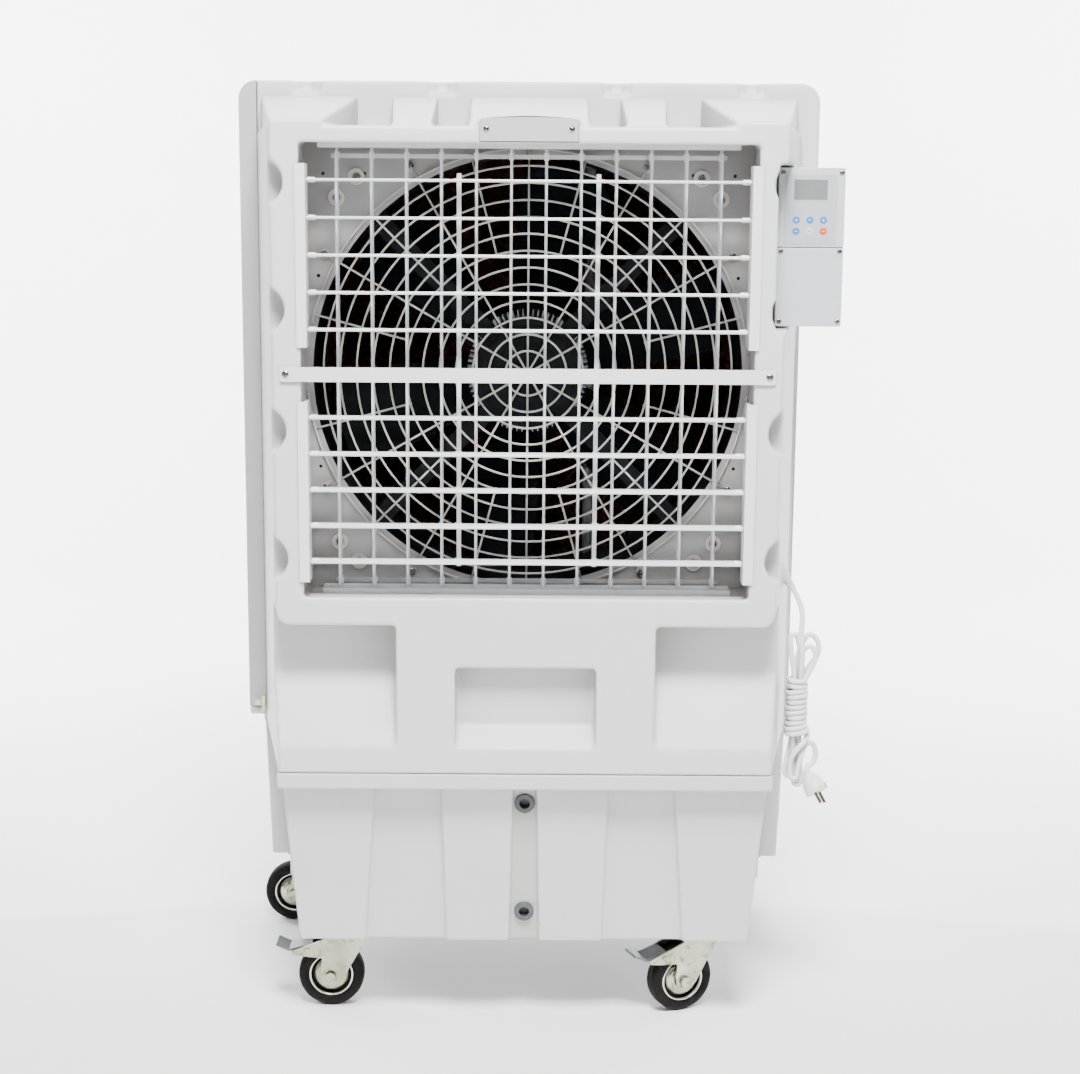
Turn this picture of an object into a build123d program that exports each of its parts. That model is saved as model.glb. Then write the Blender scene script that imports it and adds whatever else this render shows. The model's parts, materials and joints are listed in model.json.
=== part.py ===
from build123d import *
import math
import os

# Evaporative cooler on four castors.  Millimetres.
# +Z up, the air outlet faces -Y, +X is the viewer's right when facing the outlet.
# Origin: centre of the footprint, on the floor.

os.makedirs("parts", exist_ok=True)

# ------------------------------------------------------------------ driving dimensions
OUTLET_Y = -315.0          # front face of the air-outlet frame
FLANGE_Y = -35.0           # plane where the front shell meets the rear cabinet
CABINET_Y = 300.0          # rear wall of the cabinet
REAR_Y = 321.0             # outermost rear face
TOP_Z = 1388.0             # top of the cabinet cap
SHELL_Z = 404.0            # bottom of both housings, top of the tank rim
ROOF_Z = 1313.0            # flat roof of the front shell, behind the outlet frame
CORNER_Z = 1321.0          # top of the two raised corner blocks of the outlet frame

SHELL_HALF_FRONT = 353.0   # half width of the front shell at the outlet frame
SHELL_HALF_BACK = 407.0    # half width of the front shell at the flange
CAP_HALF = 434.0           # half width of the cabinet cap
SIDE_RIGHT = 411.0         # right wall of the cabinet
WALL = 5.0                 # moulded wall

OPEN_HALF = 313.0          # half width of the air outlet at the front
OPEN_LOW, OPEN_HIGH = 661.5, 1290.0
TUNNEL_GROWTH = 5.0        # how much the outlet tunnel widens on each side towards the fan
PANEL_Y = -205.0           # front face of the fan panel
FRAME_DEPTH = 45.0         # thickness of the moulded outlet frame
APRON_TOP = 632.0          # top of the thick apron section below the outlet
APRON_BACK = -247.0        # back of the apron section

FAN_Z = 970.0              # height of the fan axis
ORIFICE_R = 308.0
DUCT_BACK = -30.0
BLADE_TIP = 292.0
HUB_R = 70.0
SHAFT_R = 9.0
RUNNING = 0.05             # radial running clearance of pivots and shafts

BLADE_MID_Z = 976.0        # middle of the louvre field, height of the cross bar
LOUVRE_Z = [BLADE_MID_Z + side * (60.9 + 50.85 * k) for side in (1, -1) for k in range(5)]
LOUVRE_Z.sort(reverse=True)
LOUVRE_Y = -300.0          # louvre pivot axis
LOUVRE_HALF = 302.0        # half length of a louvre
VANE_X = [(k - 5.5) * 48.5 for k in range(12)]
VANE_Y = -250.0            # vane pivot axis
VANE_LOW, VANE_HIGH = 669.0, 1279.0
CHORD_FRONT, CHORD_REAR = 15.0, 14.5   # blade chord ahead of and behind its pivot
LINK_ARM = 20.0            # distance from a blade's pivot to its link pin
PIVOT_R = 2.0
LINK_PIN_R = 1.5
LOUVRE_LINK_X = (-96.0, 96.0)
VANE_LINK_Z = (671.0, 1274.0)

BOX_LEFT, BOX_RIGHT = 348.0, 441.0     # control box
BOX_LOW, BOX_HIGH = 1042.0, 1262.0
BOX_FRONT, BOX_BACK = -245.0, -190.0

CASTOR_R = 50.0
CASTOR_WIDTH = 28.0
CASTOR_TRAIL = 27.0
TANK_BOTTOM = 132.0
FRONT_CASTORS = {"front_left": (-266.0, -186.0, 0.0), "front_right": (262.0, -186.0, 22.0)}
REAR_CASTORS = {"rear_left": (-364.0, 163.0, 0.0), "rear_right": (364.0, 163.0, 12.0)}

CORD_D = 8.0
CORD_PLANE_Y = -200.0
GLAND_START = Vector(372.0, CORD_PLANE_Y, 684.0)
GLAND_DIR = Vector(0.58, 0.0, -0.81).normalized()
GLAND_LENGTH = 34.0
CORD_ROUTE = [(403.3, -200.0, 636.0), (408.0, -201.5, 612.0), (405.0, -203.0, 590.0)]
PLUG_START = Vector(419.0, -209.0, 381.0)
PLUG_DIR = Vector(0.42, -0.45, -0.79).normalized()


# ------------------------------------------------------------------ helpers
def block(x0, x1, y0, y1, z0, z1):
    return Pos((x0 + x1) / 2, (y0 + y1) / 2, (z0 + z1) / 2) * Box(x1 - x0, y1 - y0, z1 - z0)


def cyl_x(x0, x1, y, z, r):
    return Pos((x0 + x1) / 2, y, z) * Rot(0, 90, 0) * Cylinder(r, x1 - x0)


def cyl_y(x, y0, y1, z, r):
    return Pos(x, (y0 + y1) / 2, z) * Rot(90, 0, 0) * Cylinder(r, y1 - y0)


def cyl_z(x, y, z0, z1, r):
    return Pos(x, y, (z0 + z1) / 2) * Cylinder(r, z1 - z0)


def polygon(points):
    return make_face(Polyline(*points, close=True))


def prism_x(points_yz, x0, x1):
    face = polygon([(x0, y, z) for y, z in points_yz])
    return extrude(face, amount=x1 - x0, dir=(1, 0, 0))


def prism_y(points_xz, y0, y1):
    face = polygon([(x, y0, z) for x, z in points_xz])
    return extrude(face, amount=y1 - y0, dir=(0, 1, 0))


def prism_z(points_xy, z0, z1):
    face = polygon([(x, y, z0) for x, y in points_xy])
    return extrude(face, amount=z1 - z0, dir=(0, 0, 1))


def frustum_y(front, y0, back, y1):
    """Ruled solid between two upright rectangles (x0, x1, z0, z1) at two depths."""
    faces = []
    for (x0, x1, z0, z1), y in ((front, y0), (back, y1)):
        faces.append(polygon([(x0, y, z0), (x1, y, z0), (x1, y, z1), (x0, y, z1)]))
    return loft(faces, ruled=True)


def frustum_z(low, z0, high, z1):
    """Ruled solid between two level rectangles (x0, x1, y0, y1) at two heights."""
    faces = []
    for (x0, x1, y0, y1), z in ((low, z0), (high, z1)):
        faces.append(polygon([(x0, y0, z), (x1, y0, z), (x1, y1, z), (x0, y1, z)]))
    return loft(faces, ruled=True)


def both_sides(shape):
    """The shape and its mirror image across the centre plane."""
    return shape + mirror(shape, about=Plane.YZ)


def shell_half(y):
    """Half width of the front shell's flared side wall at depth y."""
    share = (y - OUTLET_Y) / (FLANGE_Y - OUTLET_Y)
    return SHELL_HALF_FRONT + share * (SHELL_HALF_BACK - SHELL_HALF_FRONT)


def export(shape, node):
    solids = shape.solids()
    result = solids[0] if len(solids) == 1 else Compound(solids)
    export_step(result, f"parts/{node}.step")


# ------------------------------------------------------------------ front shell
BITE_HEIGHTS = (1237.0, 1064.0, 897.0, 716.0)
BITE_R, BITE_REACH, BITE_DEPTH = 34.0, 18.0, 32.0
BUTTRESSES = [              # (front x0, x1), (back x0, x1), front height; right-hand half
    ((281.0, SHELL_HALF_FRONT), (255.0, 400.0), CORNER_Z),
    ((134.0, 185.0), (136.0, 204.0), ROOF_Z),
]
CENTRE_BUTTRESS = ((-81.0, 81.0), (-87.0, 87.0), ROOF_Z)
BUTTRESS_TOP = 1366.0
TAB_HALF, TAB_TOP = 70.0, 1326.0
SCOOP_INNER, SCOOP_TOP, SCOOP_FOLD, SCOOP_LOW = 184.0, 621.0, 542.0, 441.0
SCOOP_Y = -255.0
POCKET_HALF, POCKET_TOP, POCKET_FOLD = 100.0, 560.0, 471.0
POCKET_Y = -285.0
BOX_GAP = 3.0


def buttress(front, back, height, inset=0.0):
    y0 = OUTLET_Y + (FRAME_DEPTH if inset else (0.0 if height > ROOF_Z else 6.0))
    rise = (BUTTRESS_TOP - height) * (y0 - OUTLET_Y) / (FLANGE_Y - OUTLET_Y)
    low = ROOF_Z - 20.0
    return frustum_y((front[0] + inset, front[1] - inset, low, height + rise - inset), y0,
                     (back[0] + inset, back[1] - inset, low, BUTTRESS_TOP - inset), FLANGE_Y)


def all_buttresses(inset=0.0):
    solids = [buttress(*CENTRE_BUTTRESS, inset)]
    for spec in BUTTRESSES:
        one = buttress(*spec, inset)
        solids += [one, mirror(one, about=Plane.YZ)]
    return solids


def slope_z(fold_y, fold_z, low_z, y):
    """Height of a recess's sloping floor at depth y."""
    return fold_z + (low_z - fold_z) * (y - fold_y) / (OUTLET_Y - fold_y)


def scoop(offset=0.0):
    """Corner recess of the apron, open to the side; offset gives the hollow behind it."""
    ahead = OUTLET_Y - 15.0
    profile = [(ahead, SCOOP_TOP), (SCOOP_Y, SCOOP_TOP), (SCOOP_Y, SCOOP_FOLD),
               (ahead, slope_z(SCOOP_Y, SCOOP_FOLD, SCOOP_LOW, ahead))]
    cut = prism_x(profile, SCOOP_INNER, 430.0)
    corner_x, corner_z, radius = SHELL_HALF_FRONT - 20.0, SCOOP_TOP + 20.0, 20.0
    corner = block(corner_x, 430, ahead, SCOOP_Y, SCOOP_TOP - 1, corner_z)
    corner -= cyl_y(corner_x, ahead, SCOOP_Y, corner_z, radius)
    return cut + corner


def front_shell():
    back_rect = (-SHELL_HALF_BACK, SHELL_HALF_BACK, SHELL_Z, ROOF_Z)
    body = frustum_y((-SHELL_HALF_FRONT, SHELL_HALF_FRONT, SHELL_Z, ROOF_Z), OUTLET_Y, back_rect, FLANGE_Y)
    for one in all_buttresses():
        body += one
    body += block(-TAB_HALF, TAB_HALF, OUTLET_Y, OUTLET_Y + 22, ROOF_Z - 5, TAB_TOP)
    body += cyl_x(366, 380, CORD_PLANE_Y, 680, 17)
    outer = body

    # hollow behind the outlet frame, open to the cabinet and to the tank
    hollow_y = OUTLET_Y + FRAME_DEPTH
    half_in = shell_half(hollow_y) - WALL
    hollow = frustum_y((-half_in, half_in, SHELL_Z - 4, ROOF_Z - WALL), hollow_y,
                       (-SHELL_HALF_BACK + WALL, SHELL_HALF_BACK - WALL, SHELL_Z - 4, ROOF_Z - WALL), FLANGE_Y)
    for one in all_buttresses(inset=WALL):
        hollow += one
    hollow -= block(-430, 430, hollow_y - 1, APRON_BACK, SHELL_Z - 5, APRON_TOP)
    body -= hollow

    # pocket that seats the control box
    seat = block(BOX_LEFT - 25, 430, hollow_y - 2, BOX_BACK + 8, BOX_LOW - BOX_GAP - 8, BOX_HIGH + BOX_GAP + 8)
    body += seat & outer

    # outlet tunnel
    wide = OPEN_HALF + TUNNEL_GROWTH
    body += block(-wide - WALL, wide + WALL, hollow_y - 1, PANEL_Y,
                  OPEN_LOW - TUNNEL_GROWTH - WALL, OPEN_HIGH + TUNNEL_GROWTH + WALL)
    body -= frustum_y((-OPEN_HALF, OPEN_HALF, OPEN_LOW, OPEN_HIGH), OUTLET_Y,
                      (-wide, wide, OPEN_LOW - TUNNEL_GROWTH, OPEN_HIGH + TUNNEL_GROWTH), PANEL_Y)
    body -= block(BOX_LEFT - 8, 460, OUTLET_Y - 5, BOX_BACK, BOX_LOW - BOX_GAP, BOX_HIGH + BOX_GAP)

    # scooped edge of the outlet frame
    bite_x = SHELL_HALF_FRONT - BITE_REACH + BITE_R
    for height in BITE_HEIGHTS:
        body -= both_sides(cyl_y(bite_x, OUTLET_Y - 5, OUTLET_Y + BITE_DEPTH, height, BITE_R))

    # apron recesses
    body -= both_sides(scoop())
    ahead = OUTLET_Y - 15.0
    pocket = [(ahead, POCKET_TOP), (POCKET_Y, POCKET_TOP), (POCKET_Y, POCKET_FOLD),
              (ahead, slope_z(POCKET_Y, POCKET_FOLD, SCOOP_LOW, ahead))]
    body -= prism_x(pocket, -POCKET_HALF, POCKET_HALF)

    # hollows of the apron, open to the rear
    lip = OUTLET_Y + 7.0
    middle_back = POCKET_Y + 7.0
    body -= block(-177, 177, middle_back, APRON_BACK, SHELL_Z - 4, APRON_TOP - 8)
    body -= both_sides(block(107, 177, lip, APRON_BACK, SHELL_Z - 4, APRON_TOP - 8))
    body -= block(-177, 177, lip, middle_back + 1, POCKET_TOP + 7, APRON_TOP - 8)
    body -= block(-177, 177, lip, middle_back + 1, SHELL_Z - 4, SCOOP_LOW - 12)
    under = [(lip, SHELL_Z - 4), (APRON_BACK, SHELL_Z - 4), (APRON_BACK, SCOOP_FOLD - 16),
             (lip, SCOOP_LOW - 4)]
    body -= both_sides(prism_x(under, 192, shell_half(lip) - WALL))

    # screw holes for the cross bar and the name plate
    for x, z in CROSS_BAR_SCREWS + NAME_PLATE_SCREWS:
        body -= cyl_y(x, OUTLET_Y - 1, OUTLET_Y + 14, z, SCREW_SHANK + RUNNING)
    return body


# ------------------------------------------------------------------ screws
SCREW_SHANK = 1.9
CROSS_BAR_SCREWS = [(-334.0, BLADE_MID_Z), (334.0, BLADE_MID_Z)]
NAME_PLATE_SCREWS = [(-58.0, 1309.0), (58.0, 1309.0)]
LID_SCREWS = [(x, z) for x in (BOX_LEFT + 5.5, BOX_RIGHT - 5.5)
              for z in (BOX_LOW + 7, (BOX_LOW + BOX_HIGH) / 2 - 5.5, BOX_HIGH - 7)]
GUARD_R = 335.0
GUARD_BOLT_ANGLES = [a for a in range(30, 360, 30) if a % 90]
ARM_BOLTS = [(sx * x, sz * z) for x, z in ((244.0, 276.0), (272.0, 247.0)) for sx in (-1, 1) for sz in (-1, 1)]
BAR_FRONT, BAR_DEPTH = -319.0, 4.0
PLATE_DEPTH = 2.0


def screw_y(x, z, face_y, head_r, head_h, length, shank=SCREW_SHANK):
    """Round-headed screw driven along +Y into a face at face_y."""
    head = cyl_y(x, face_y - head_h, face_y, z, head_r)
    head = fillet(head.edges().filter_by(GeomType.CIRCLE).sort_by(Axis.Y)[0], head_h * 0.45)
    return head + cyl_y(x, face_y - head_h / 2, face_y + length, z, shank)


def polar(radius, degrees):
    return radius * math.cos(math.radians(degrees)), FAN_Z + radius * math.sin(math.radians(degrees))


def housing_screws():
    group = [screw_y(x, z, BAR_FRONT, 5.2, 2.0, 14) for x, z in CROSS_BAR_SCREWS]
    group += [screw_y(x, z, OUTLET_Y - PLATE_DEPTH, 4.2, 2.0, 13) for x, z in NAME_PLATE_SCREWS]
    group += [screw_y(x, z, BOX_FRONT, 3.6, 1.6, 8) for x, z in LID_SCREWS]
    for dx, dz in ARM_BOLTS:
        washer = cyl_y(dx, PANEL_Y - 2, PANEL_Y, FAN_Z + dz, 12)
        group.append(washer + screw_y(dx, FAN_Z + dz, PANEL_Y - 2, 6.5, 5, 10, 3.0))
    for angle in GUARD_BOLT_ANGLES:
        x, z = polar(GUARD_R, angle)
        group.append(screw_y(x, z, PANEL_Y - WIRE, 6.0, 3.5, 10, 3.0))
    return Compound(group)


# ------------------------------------------------------------------ rear cabinet
PAD_LOW, PAD_HIGH = 445.0, 1320.0
NOTCH_X = (-332.0, -130.0, 130.0, 332.0)
CAP_CORNER = 28.0
SKIRT_LOW = 1336.0
FAIRING_LOW = 1200.0
FAIRING_BACK = 40.0
SILL_LOW, SILL_HIGH = 414.0, 427.0
POST_IN_LEFT, POST_IN_RIGHT = -398.0, 398.0
RIGHT_FRAME_X = 424.0


def rounded_top(shape, radius):
    top = [e for e in shape.edges().filter_by(Axis.Y) if e.center().Z > TOP_Z - 1]
    return fillet(top, radius)


def rear_cabinet():
    body = block(-SHELL_HALF_BACK, SIDE_RIGHT, FLANGE_Y, CABINET_Y, SHELL_Z, 1345)
    cap = rounded_top(block(-CAP_HALF, CAP_HALF, FLANGE_Y, REAR_Y, SKIRT_LOW, TOP_Z), CAP_CORNER)
    body += cap - block(-CAP_HALF - 1, -SHELL_HALF_BACK, FLANGE_Y - 1, 290, SKIRT_LOW - 1, TOP_Z + 1)
    body += block(SIDE_RIGHT - 4, CAP_HALF, FLANGE_Y, FAIRING_BACK, FAIRING_LOW, SKIRT_LOW + 4)
    body += block(-CAP_HALF, -SHELL_HALF_BACK + 2, FLANGE_Y, REAR_Y, SILL_LOW, SILL_HIGH)
    body += block(SIDE_RIGHT - 2, RIGHT_FRAME_X, FAIRING_BACK + 5, REAR_Y, SILL_LOW, SILL_HIGH)
    body += block(-CAP_HALF, RIGHT_FRAME_X, CABINET_Y - 2, REAR_Y, SILL_LOW, SILL_HIGH)
    body += block(-CAP_HALF, POST_IN_LEFT, 290, REAR_Y, SILL_LOW, SKIRT_LOW + 4)
    body += block(POST_IN_RIGHT, RIGHT_FRAME_X, 290, REAR_Y, SILL_LOW, SKIRT_LOW + 4)
    inner_y0, inner_y1 = FLANGE_Y + 6, CABINET_Y - 6
    body -= block(-SHELL_HALF_BACK + 6, SIDE_RIGHT - 6, inner_y0, inner_y1, SHELL_Z - 4, TOP_Z - 10)
    body -= block(-SHELL_HALF_BACK + 6, CAP_HALF - 6, inner_y0, REAR_Y - 6, SKIRT_LOW + 6, TOP_Z - 32)
    body -= block(-396, 396, FLANGE_Y - 1, inner_y0 + 1, SHELL_Z - 4, ROOF_Z - 11)
    body -= block(-SHELL_HALF_BACK - 1, -SHELL_HALF_BACK + 7, -15, 275, PAD_LOW, PAD_HIGH)
    body -= block(SIDE_RIGHT - 7, SIDE_RIGHT + 1, 62, 275, PAD_LOW, PAD_HIGH)
    body -= block(-375, 375, inner_y1 - 1, CABINET_Y + 1, PAD_LOW, PAD_HIGH)
    body -= block(-392, 392, 0, 292, TOP_Z - 4, TOP_Z + 1)
    for x in NOTCH_X:
        body += block(x - 28, x + 28, FLANGE_Y + 2, FLANGE_Y + 26, TOP_Z - 30, TOP_Z - 6)
        body -= block(x - 21, x + 21, FLANGE_Y - 1, FLANGE_Y + 8, TOP_Z - 19, TOP_Z + 1)
        body -= block(x - 11, x + 11, FLANGE_Y - 1, FLANGE_Y + 18, TOP_Z - 16, TOP_Z + 1)
    return body


# ------------------------------------------------------------------ water tank
RIM_LOW = 381.0
TANK_FRONT = ((-332.0, 332.0, -262.0, 284.0), (-352.0, 352.0, -288.0, 300.0))
TANK_MIDDLE = (-376.0, 376.0, -20.0, 284.0)
TANK_REAR = ((-414.0, 414.0, 50.0, 290.0), (-422.0, 422.0, 50.0, 304.0))
TANK_REAR_LOW, TANK_MIDDLE_LOW = 154.0, 142.0
PANEL_RECESS = 8.0
PORT_HEIGHTS = (350.0, 178.0)
PORT_R = 11.0


def inset(rect, side, front, back):
    return rect[0] + side, rect[1] - side, rect[2] + front, rect[3] - back


def water_tank():
    front_low, front_high = TANK_FRONT
    rear_low, rear_high = TANK_REAR
    main = frustum_z(front_low, TANK_BOTTOM, front_high, RIM_LOW)
    body = main + frustum_z(TANK_MIDDLE, TANK_MIDDLE_LOW, inset(TANK_MIDDLE, -2, 0, -8), RIM_LOW)
    body += frustum_z(rear_low, TANK_REAR_LOW, rear_high, RIM_LOW)
    for x, y, _ in REAR_CASTORS.values():
        side = math.copysign(1, x)
        body += block(min(side * 320, side * 398), max(side * 320, side * 398), y - 50, y + 50,
                      TANK_BOTTOM, TANK_REAR_LOW + 10)
    body += block(-356, 356, OUTLET_Y, 60, RIM_LOW, SHELL_Z)
    body += block(-424, 424, 50, 306, RIM_LOW, SHELL_Z)

    # recessed panels and the channel on the front
    shifted = Pos(0, PANEL_RECESS, 0) * main
    panel = prism_y([(122, RIM_LOW), (217, RIM_LOW), (235, TANK_BOTTOM - 1), (115, TANK_BOTTOM - 1)], -300, -200)
    channel = prism_y([(-17, RIM_LOW), (17, RIM_LOW), (22, TANK_BOTTOM - 1), (-22, TANK_BOTTOM - 1)], -300, -200)
    body -= both_sides(panel - shifted)
    body -= channel - shifted

    # water space
    front_wall = PANEL_RECESS + WALL
    body -= frustum_z(inset(front_low, WALL, front_wall, WALL), TANK_BOTTOM + WALL,
                      inset(front_high, WALL, front_wall, WALL), RIM_LOW)
    body -= frustum_z(inset(TANK_MIDDLE, WALL, WALL, WALL), TANK_REAR_LOW + 14,
                      inset(TANK_MIDDLE, WALL - 2, WALL, WALL - 8), RIM_LOW)
    body -= frustum_z(inset(rear_low, WALL, WALL, WALL), TANK_REAR_LOW + 14,
                      inset(rear_high, WALL, WALL, WALL), RIM_LOW)
    body -= block(-345, 345, -275, 60, RIM_LOW - 1, SHELL_Z + 1)
    body -= block(-412, 412, 58, 294, RIM_LOW - 1, SHELL_Z + 1)

    for height in PORT_HEIGHTS:
        body -= cyl_y(0, -300, -230, height, PORT_R + RUNNING)
    body -= cyl_y(DRAIN_X, 250, 310, DRAIN_Z, 12 + RUNNING)
    body -= cyl_y(INLET_X, 250, 320, INLET_Z, 9 + RUNNING)
    return body


# ------------------------------------------------------------------ tank fittings, pump, distributor, pads
DRAIN_X, DRAIN_Z = -120.0, 168.0
INLET_X, INLET_Z = 250.0, 340.0


def tank_front_y(height):
    (low, high) = TANK_FRONT
    share = (height - TANK_BOTTOM) / (RIM_LOW - TANK_BOTTOM)
    return low[2] + share * (high[2] - low[2]) + PANEL_RECESS


def level_fitting(height):
    face = tank_front_y(height)
    collar = cyl_y(0, face - 5.5, face - 1.7, height, 14.5)
    collar = fillet(collar.edges().filter_by(GeomType.CIRCLE).sort_by(Axis.Y)[0], 1.6)
    fitting = collar + cyl_y(0, face - 2, face + 12, height, PORT_R)
    return fitting - cyl_y(0, face - 6, face + 6, height, 7.5)


def tank_fittings():
    group = [level_fitting(height) for height in PORT_HEIGHTS]
    drain = cyl_y(DRAIN_X, 270, 300, DRAIN_Z, 12) + cyl_y(DRAIN_X, 292, 303, DRAIN_Z, 17)
    drain += block(DRAIN_X - 14, DRAIN_X + 14, 302, 310, DRAIN_Z - 3, DRAIN_Z + 3)
    inlet = cyl_y(INLET_X, 262, 319, INLET_Z, 9) + cyl_y(INLET_X, 303, 310, INLET_Z, 14)
    inlet += cyl_y(INLET_X, 255, 270, INLET_Z, 12)
    inlet += block(INLET_X - 3, INLET_X + 3, 180, 258, INLET_Z - 3, INLET_Z + 3)
    inlet += cyl_z(INLET_X, 172, INLET_Z - 38, INLET_Z - 4, 30) + cyl_z(INLET_X, 184, INLET_Z - 6, INLET_Z + 3, 5)
    return Compound(group + [drain, inlet, water_pump()])


PUMP_X, PUMP_Y = 40.0, 120.0


def water_pump():
    base = TANK_BOTTOM + WALL
    body = block(PUMP_X - 45, PUMP_X + 45, PUMP_Y - 35, PUMP_Y + 35, base, base + 22)
    body += cyl_z(PUMP_X, PUMP_Y, base + 20, base + 95, 32)
    body += cyl_z(PUMP_X, PUMP_Y, base + 94, base + 112, 20)
    body += cyl_z(PUMP_X + 58, PUMP_Y, base + 12, base + 60, 9)
    body += cyl_x(PUMP_X + 40, PUMP_X + 60, PUMP_Y, base + 14, 9)
    return body


PIPE_R = 10.0
TROUGH_Z = 1322.0


def water_distributor():
    """Riser from the pump and the U of pipe that wets the three pads."""
    riser_x, riser_y = PUMP_X + 58, PUMP_Y
    base = TANK_BOTTOM + WALL
    low, high = TROUGH_Z - PIPE_R, TROUGH_Z + PIPE_R
    body = cyl_z(riser_x, riser_y, base + 60, TROUGH_Z, PIPE_R - 2)
    body += block(riser_x - PIPE_R, riser_x + PIPE_R, riser_y - PIPE_R, 240, low, high)
    body += block(-370, 370, 228, 248, low, high)
    body += block(-370, -350, 20, 248, low, high) + block(350, 370, 80, 248, low, high)
    return body


def cooling_pads():
    inner_y = CABINET_Y - 6
    rear = block(-322, 322, inner_y - 76, inner_y, 412, 1306)
    left = block(-SHELL_HALF_BACK + 6, -SHELL_HALF_BACK + 80, -20, inner_y, 412, 1306)
    right = block(SIDE_RIGHT - 80, SIDE_RIGHT - 6, 56, inner_y, 412, 1306)
    return Compound([rear, left, right])


# ------------------------------------------------------------------ fan
MOTOR_R = 80.0
MOTOR_FRONT, MOTOR_BACK = -196.0, -120.0
ROTOR_FRONT, ROTOR_BACK = -110.0, -48.0
BLADE_COUNT = 6
ARM_ANGLES = (45, 135, 225, 315)


def fan_panel():
    half = OPEN_HALF + TUNNEL_GROWTH + WALL
    low, high = OPEN_LOW - TUNNEL_GROWTH - WALL, OPEN_HIGH + TUNNEL_GROWTH + WALL
    body = block(-half, half, PANEL_Y, PANEL_Y + 3, low, high)
    body += cyl_y(0, PANEL_Y + 1, DUCT_BACK, FAN_Z, ORIFICE_R + 3)
    body -= cyl_y(0, PANEL_Y - 1, DUCT_BACK + 1, FAN_Z, ORIFICE_R)
    for dx, dz in ARM_BOLTS:
        body -= cyl_y(dx, PANEL_Y - 1, PANEL_Y + 12, FAN_Z + dz, 3 + RUNNING)
    for angle in GUARD_BOLT_ANGLES:
        x, z = polar(GUARD_R, angle)
        body -= cyl_y(x, PANEL_Y - 1, PANEL_Y + 12, z, 3 + RUNNING)
    for x, z in ((-291.0, 1250.0), (-232.0, 1250.0), (-299.0, 1107.0)):
        for sx in (-1, 1):
            for height in (z, 2 * FAN_Z - z):
                body -= cyl_y(sx * x, PANEL_Y - 1, PANEL_Y + 4, height, 2.5)
    return body


def fan_motor():
    body = cyl_y(0, MOTOR_FRONT + 6, MOTOR_BACK, FAN_Z, MOTOR_R)
    body += cyl_y(0, MOTOR_FRONT, MOTOR_FRONT + 8, FAN_Z, MOTOR_R - 14)
    for k in range(24):
        fin = block(-1.2, 1.2, MOTOR_FRONT + 16, MOTOR_BACK - 4, MOTOR_R - 3, MOTOR_R + 8)
        body += Pos(0, 0, FAN_Z) * Rot(0, k * 15 + 7.5, 0) * fin
    bar = block(-13, 13, MOTOR_FRONT + 6, MOTOR_FRONT + 13, MOTOR_R - 10, ORIFICE_R - 4)
    foot = block(-17, 17, MOTOR_FRONT + 6, MOTOR_FRONT + 40, ORIFICE_R - 12, ORIFICE_R + 5)
    foot &= Rot(90, 0, 0) * Cylinder(ORIFICE_R, 2000)
    for angle in ARM_ANGLES:
        body += Pos(0, 0, FAN_Z) * Rot(0, angle, 0) * (bar + foot)
    body += cyl_y(0, MOTOR_BACK - 1, ROTOR_BACK + 6, FAN_Z, SHAFT_R)
    return body


def blade_section(radius, chord, pitch):
    """Flat blade section at a radius, square to it, in a frame whose fan axis is Y."""
    half_t = 2.2
    cos_p, sin_p = math.cos(math.radians(pitch)), math.sin(math.radians(pitch))
    corners = []
    for along, across in ((-chord / 2, -half_t), (chord / 2, -half_t), (chord / 2, half_t), (-chord / 2, half_t)):
        corners.append((along * cos_p - across * sin_p, along * sin_p + across * cos_p, radius))
    return polygon(corners)


def fan_rotor():
    middle = (ROTOR_FRONT + ROTOR_BACK) / 2
    hub = cyl_y(0, ROTOR_FRONT, ROTOR_BACK, FAN_Z, HUB_R)
    blade = loft([blade_section(HUB_R - 12, 84, 40), blade_section(BLADE_TIP, 150, 24)], ruled=True)
    body = hub
    for k in range(BLADE_COUNT):
        body += Pos(0, middle, FAN_Z) * Rot(0, k * 360 / BLADE_COUNT + 12, 0) * blade
    return body - cyl_y(0, ROTOR_FRONT - 1, ROTOR_BACK + 1, FAN_Z, SHAFT_R + RUNNING)


RING_COUNT = 13
RING_FIRST, RING_STEP = 32.0, 23.7
WIRE = 3.0
GUARD_SIDE, GUARD_LOW = 316.5, 658.5   # the outer ring stops just short of the tunnel walls


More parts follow.
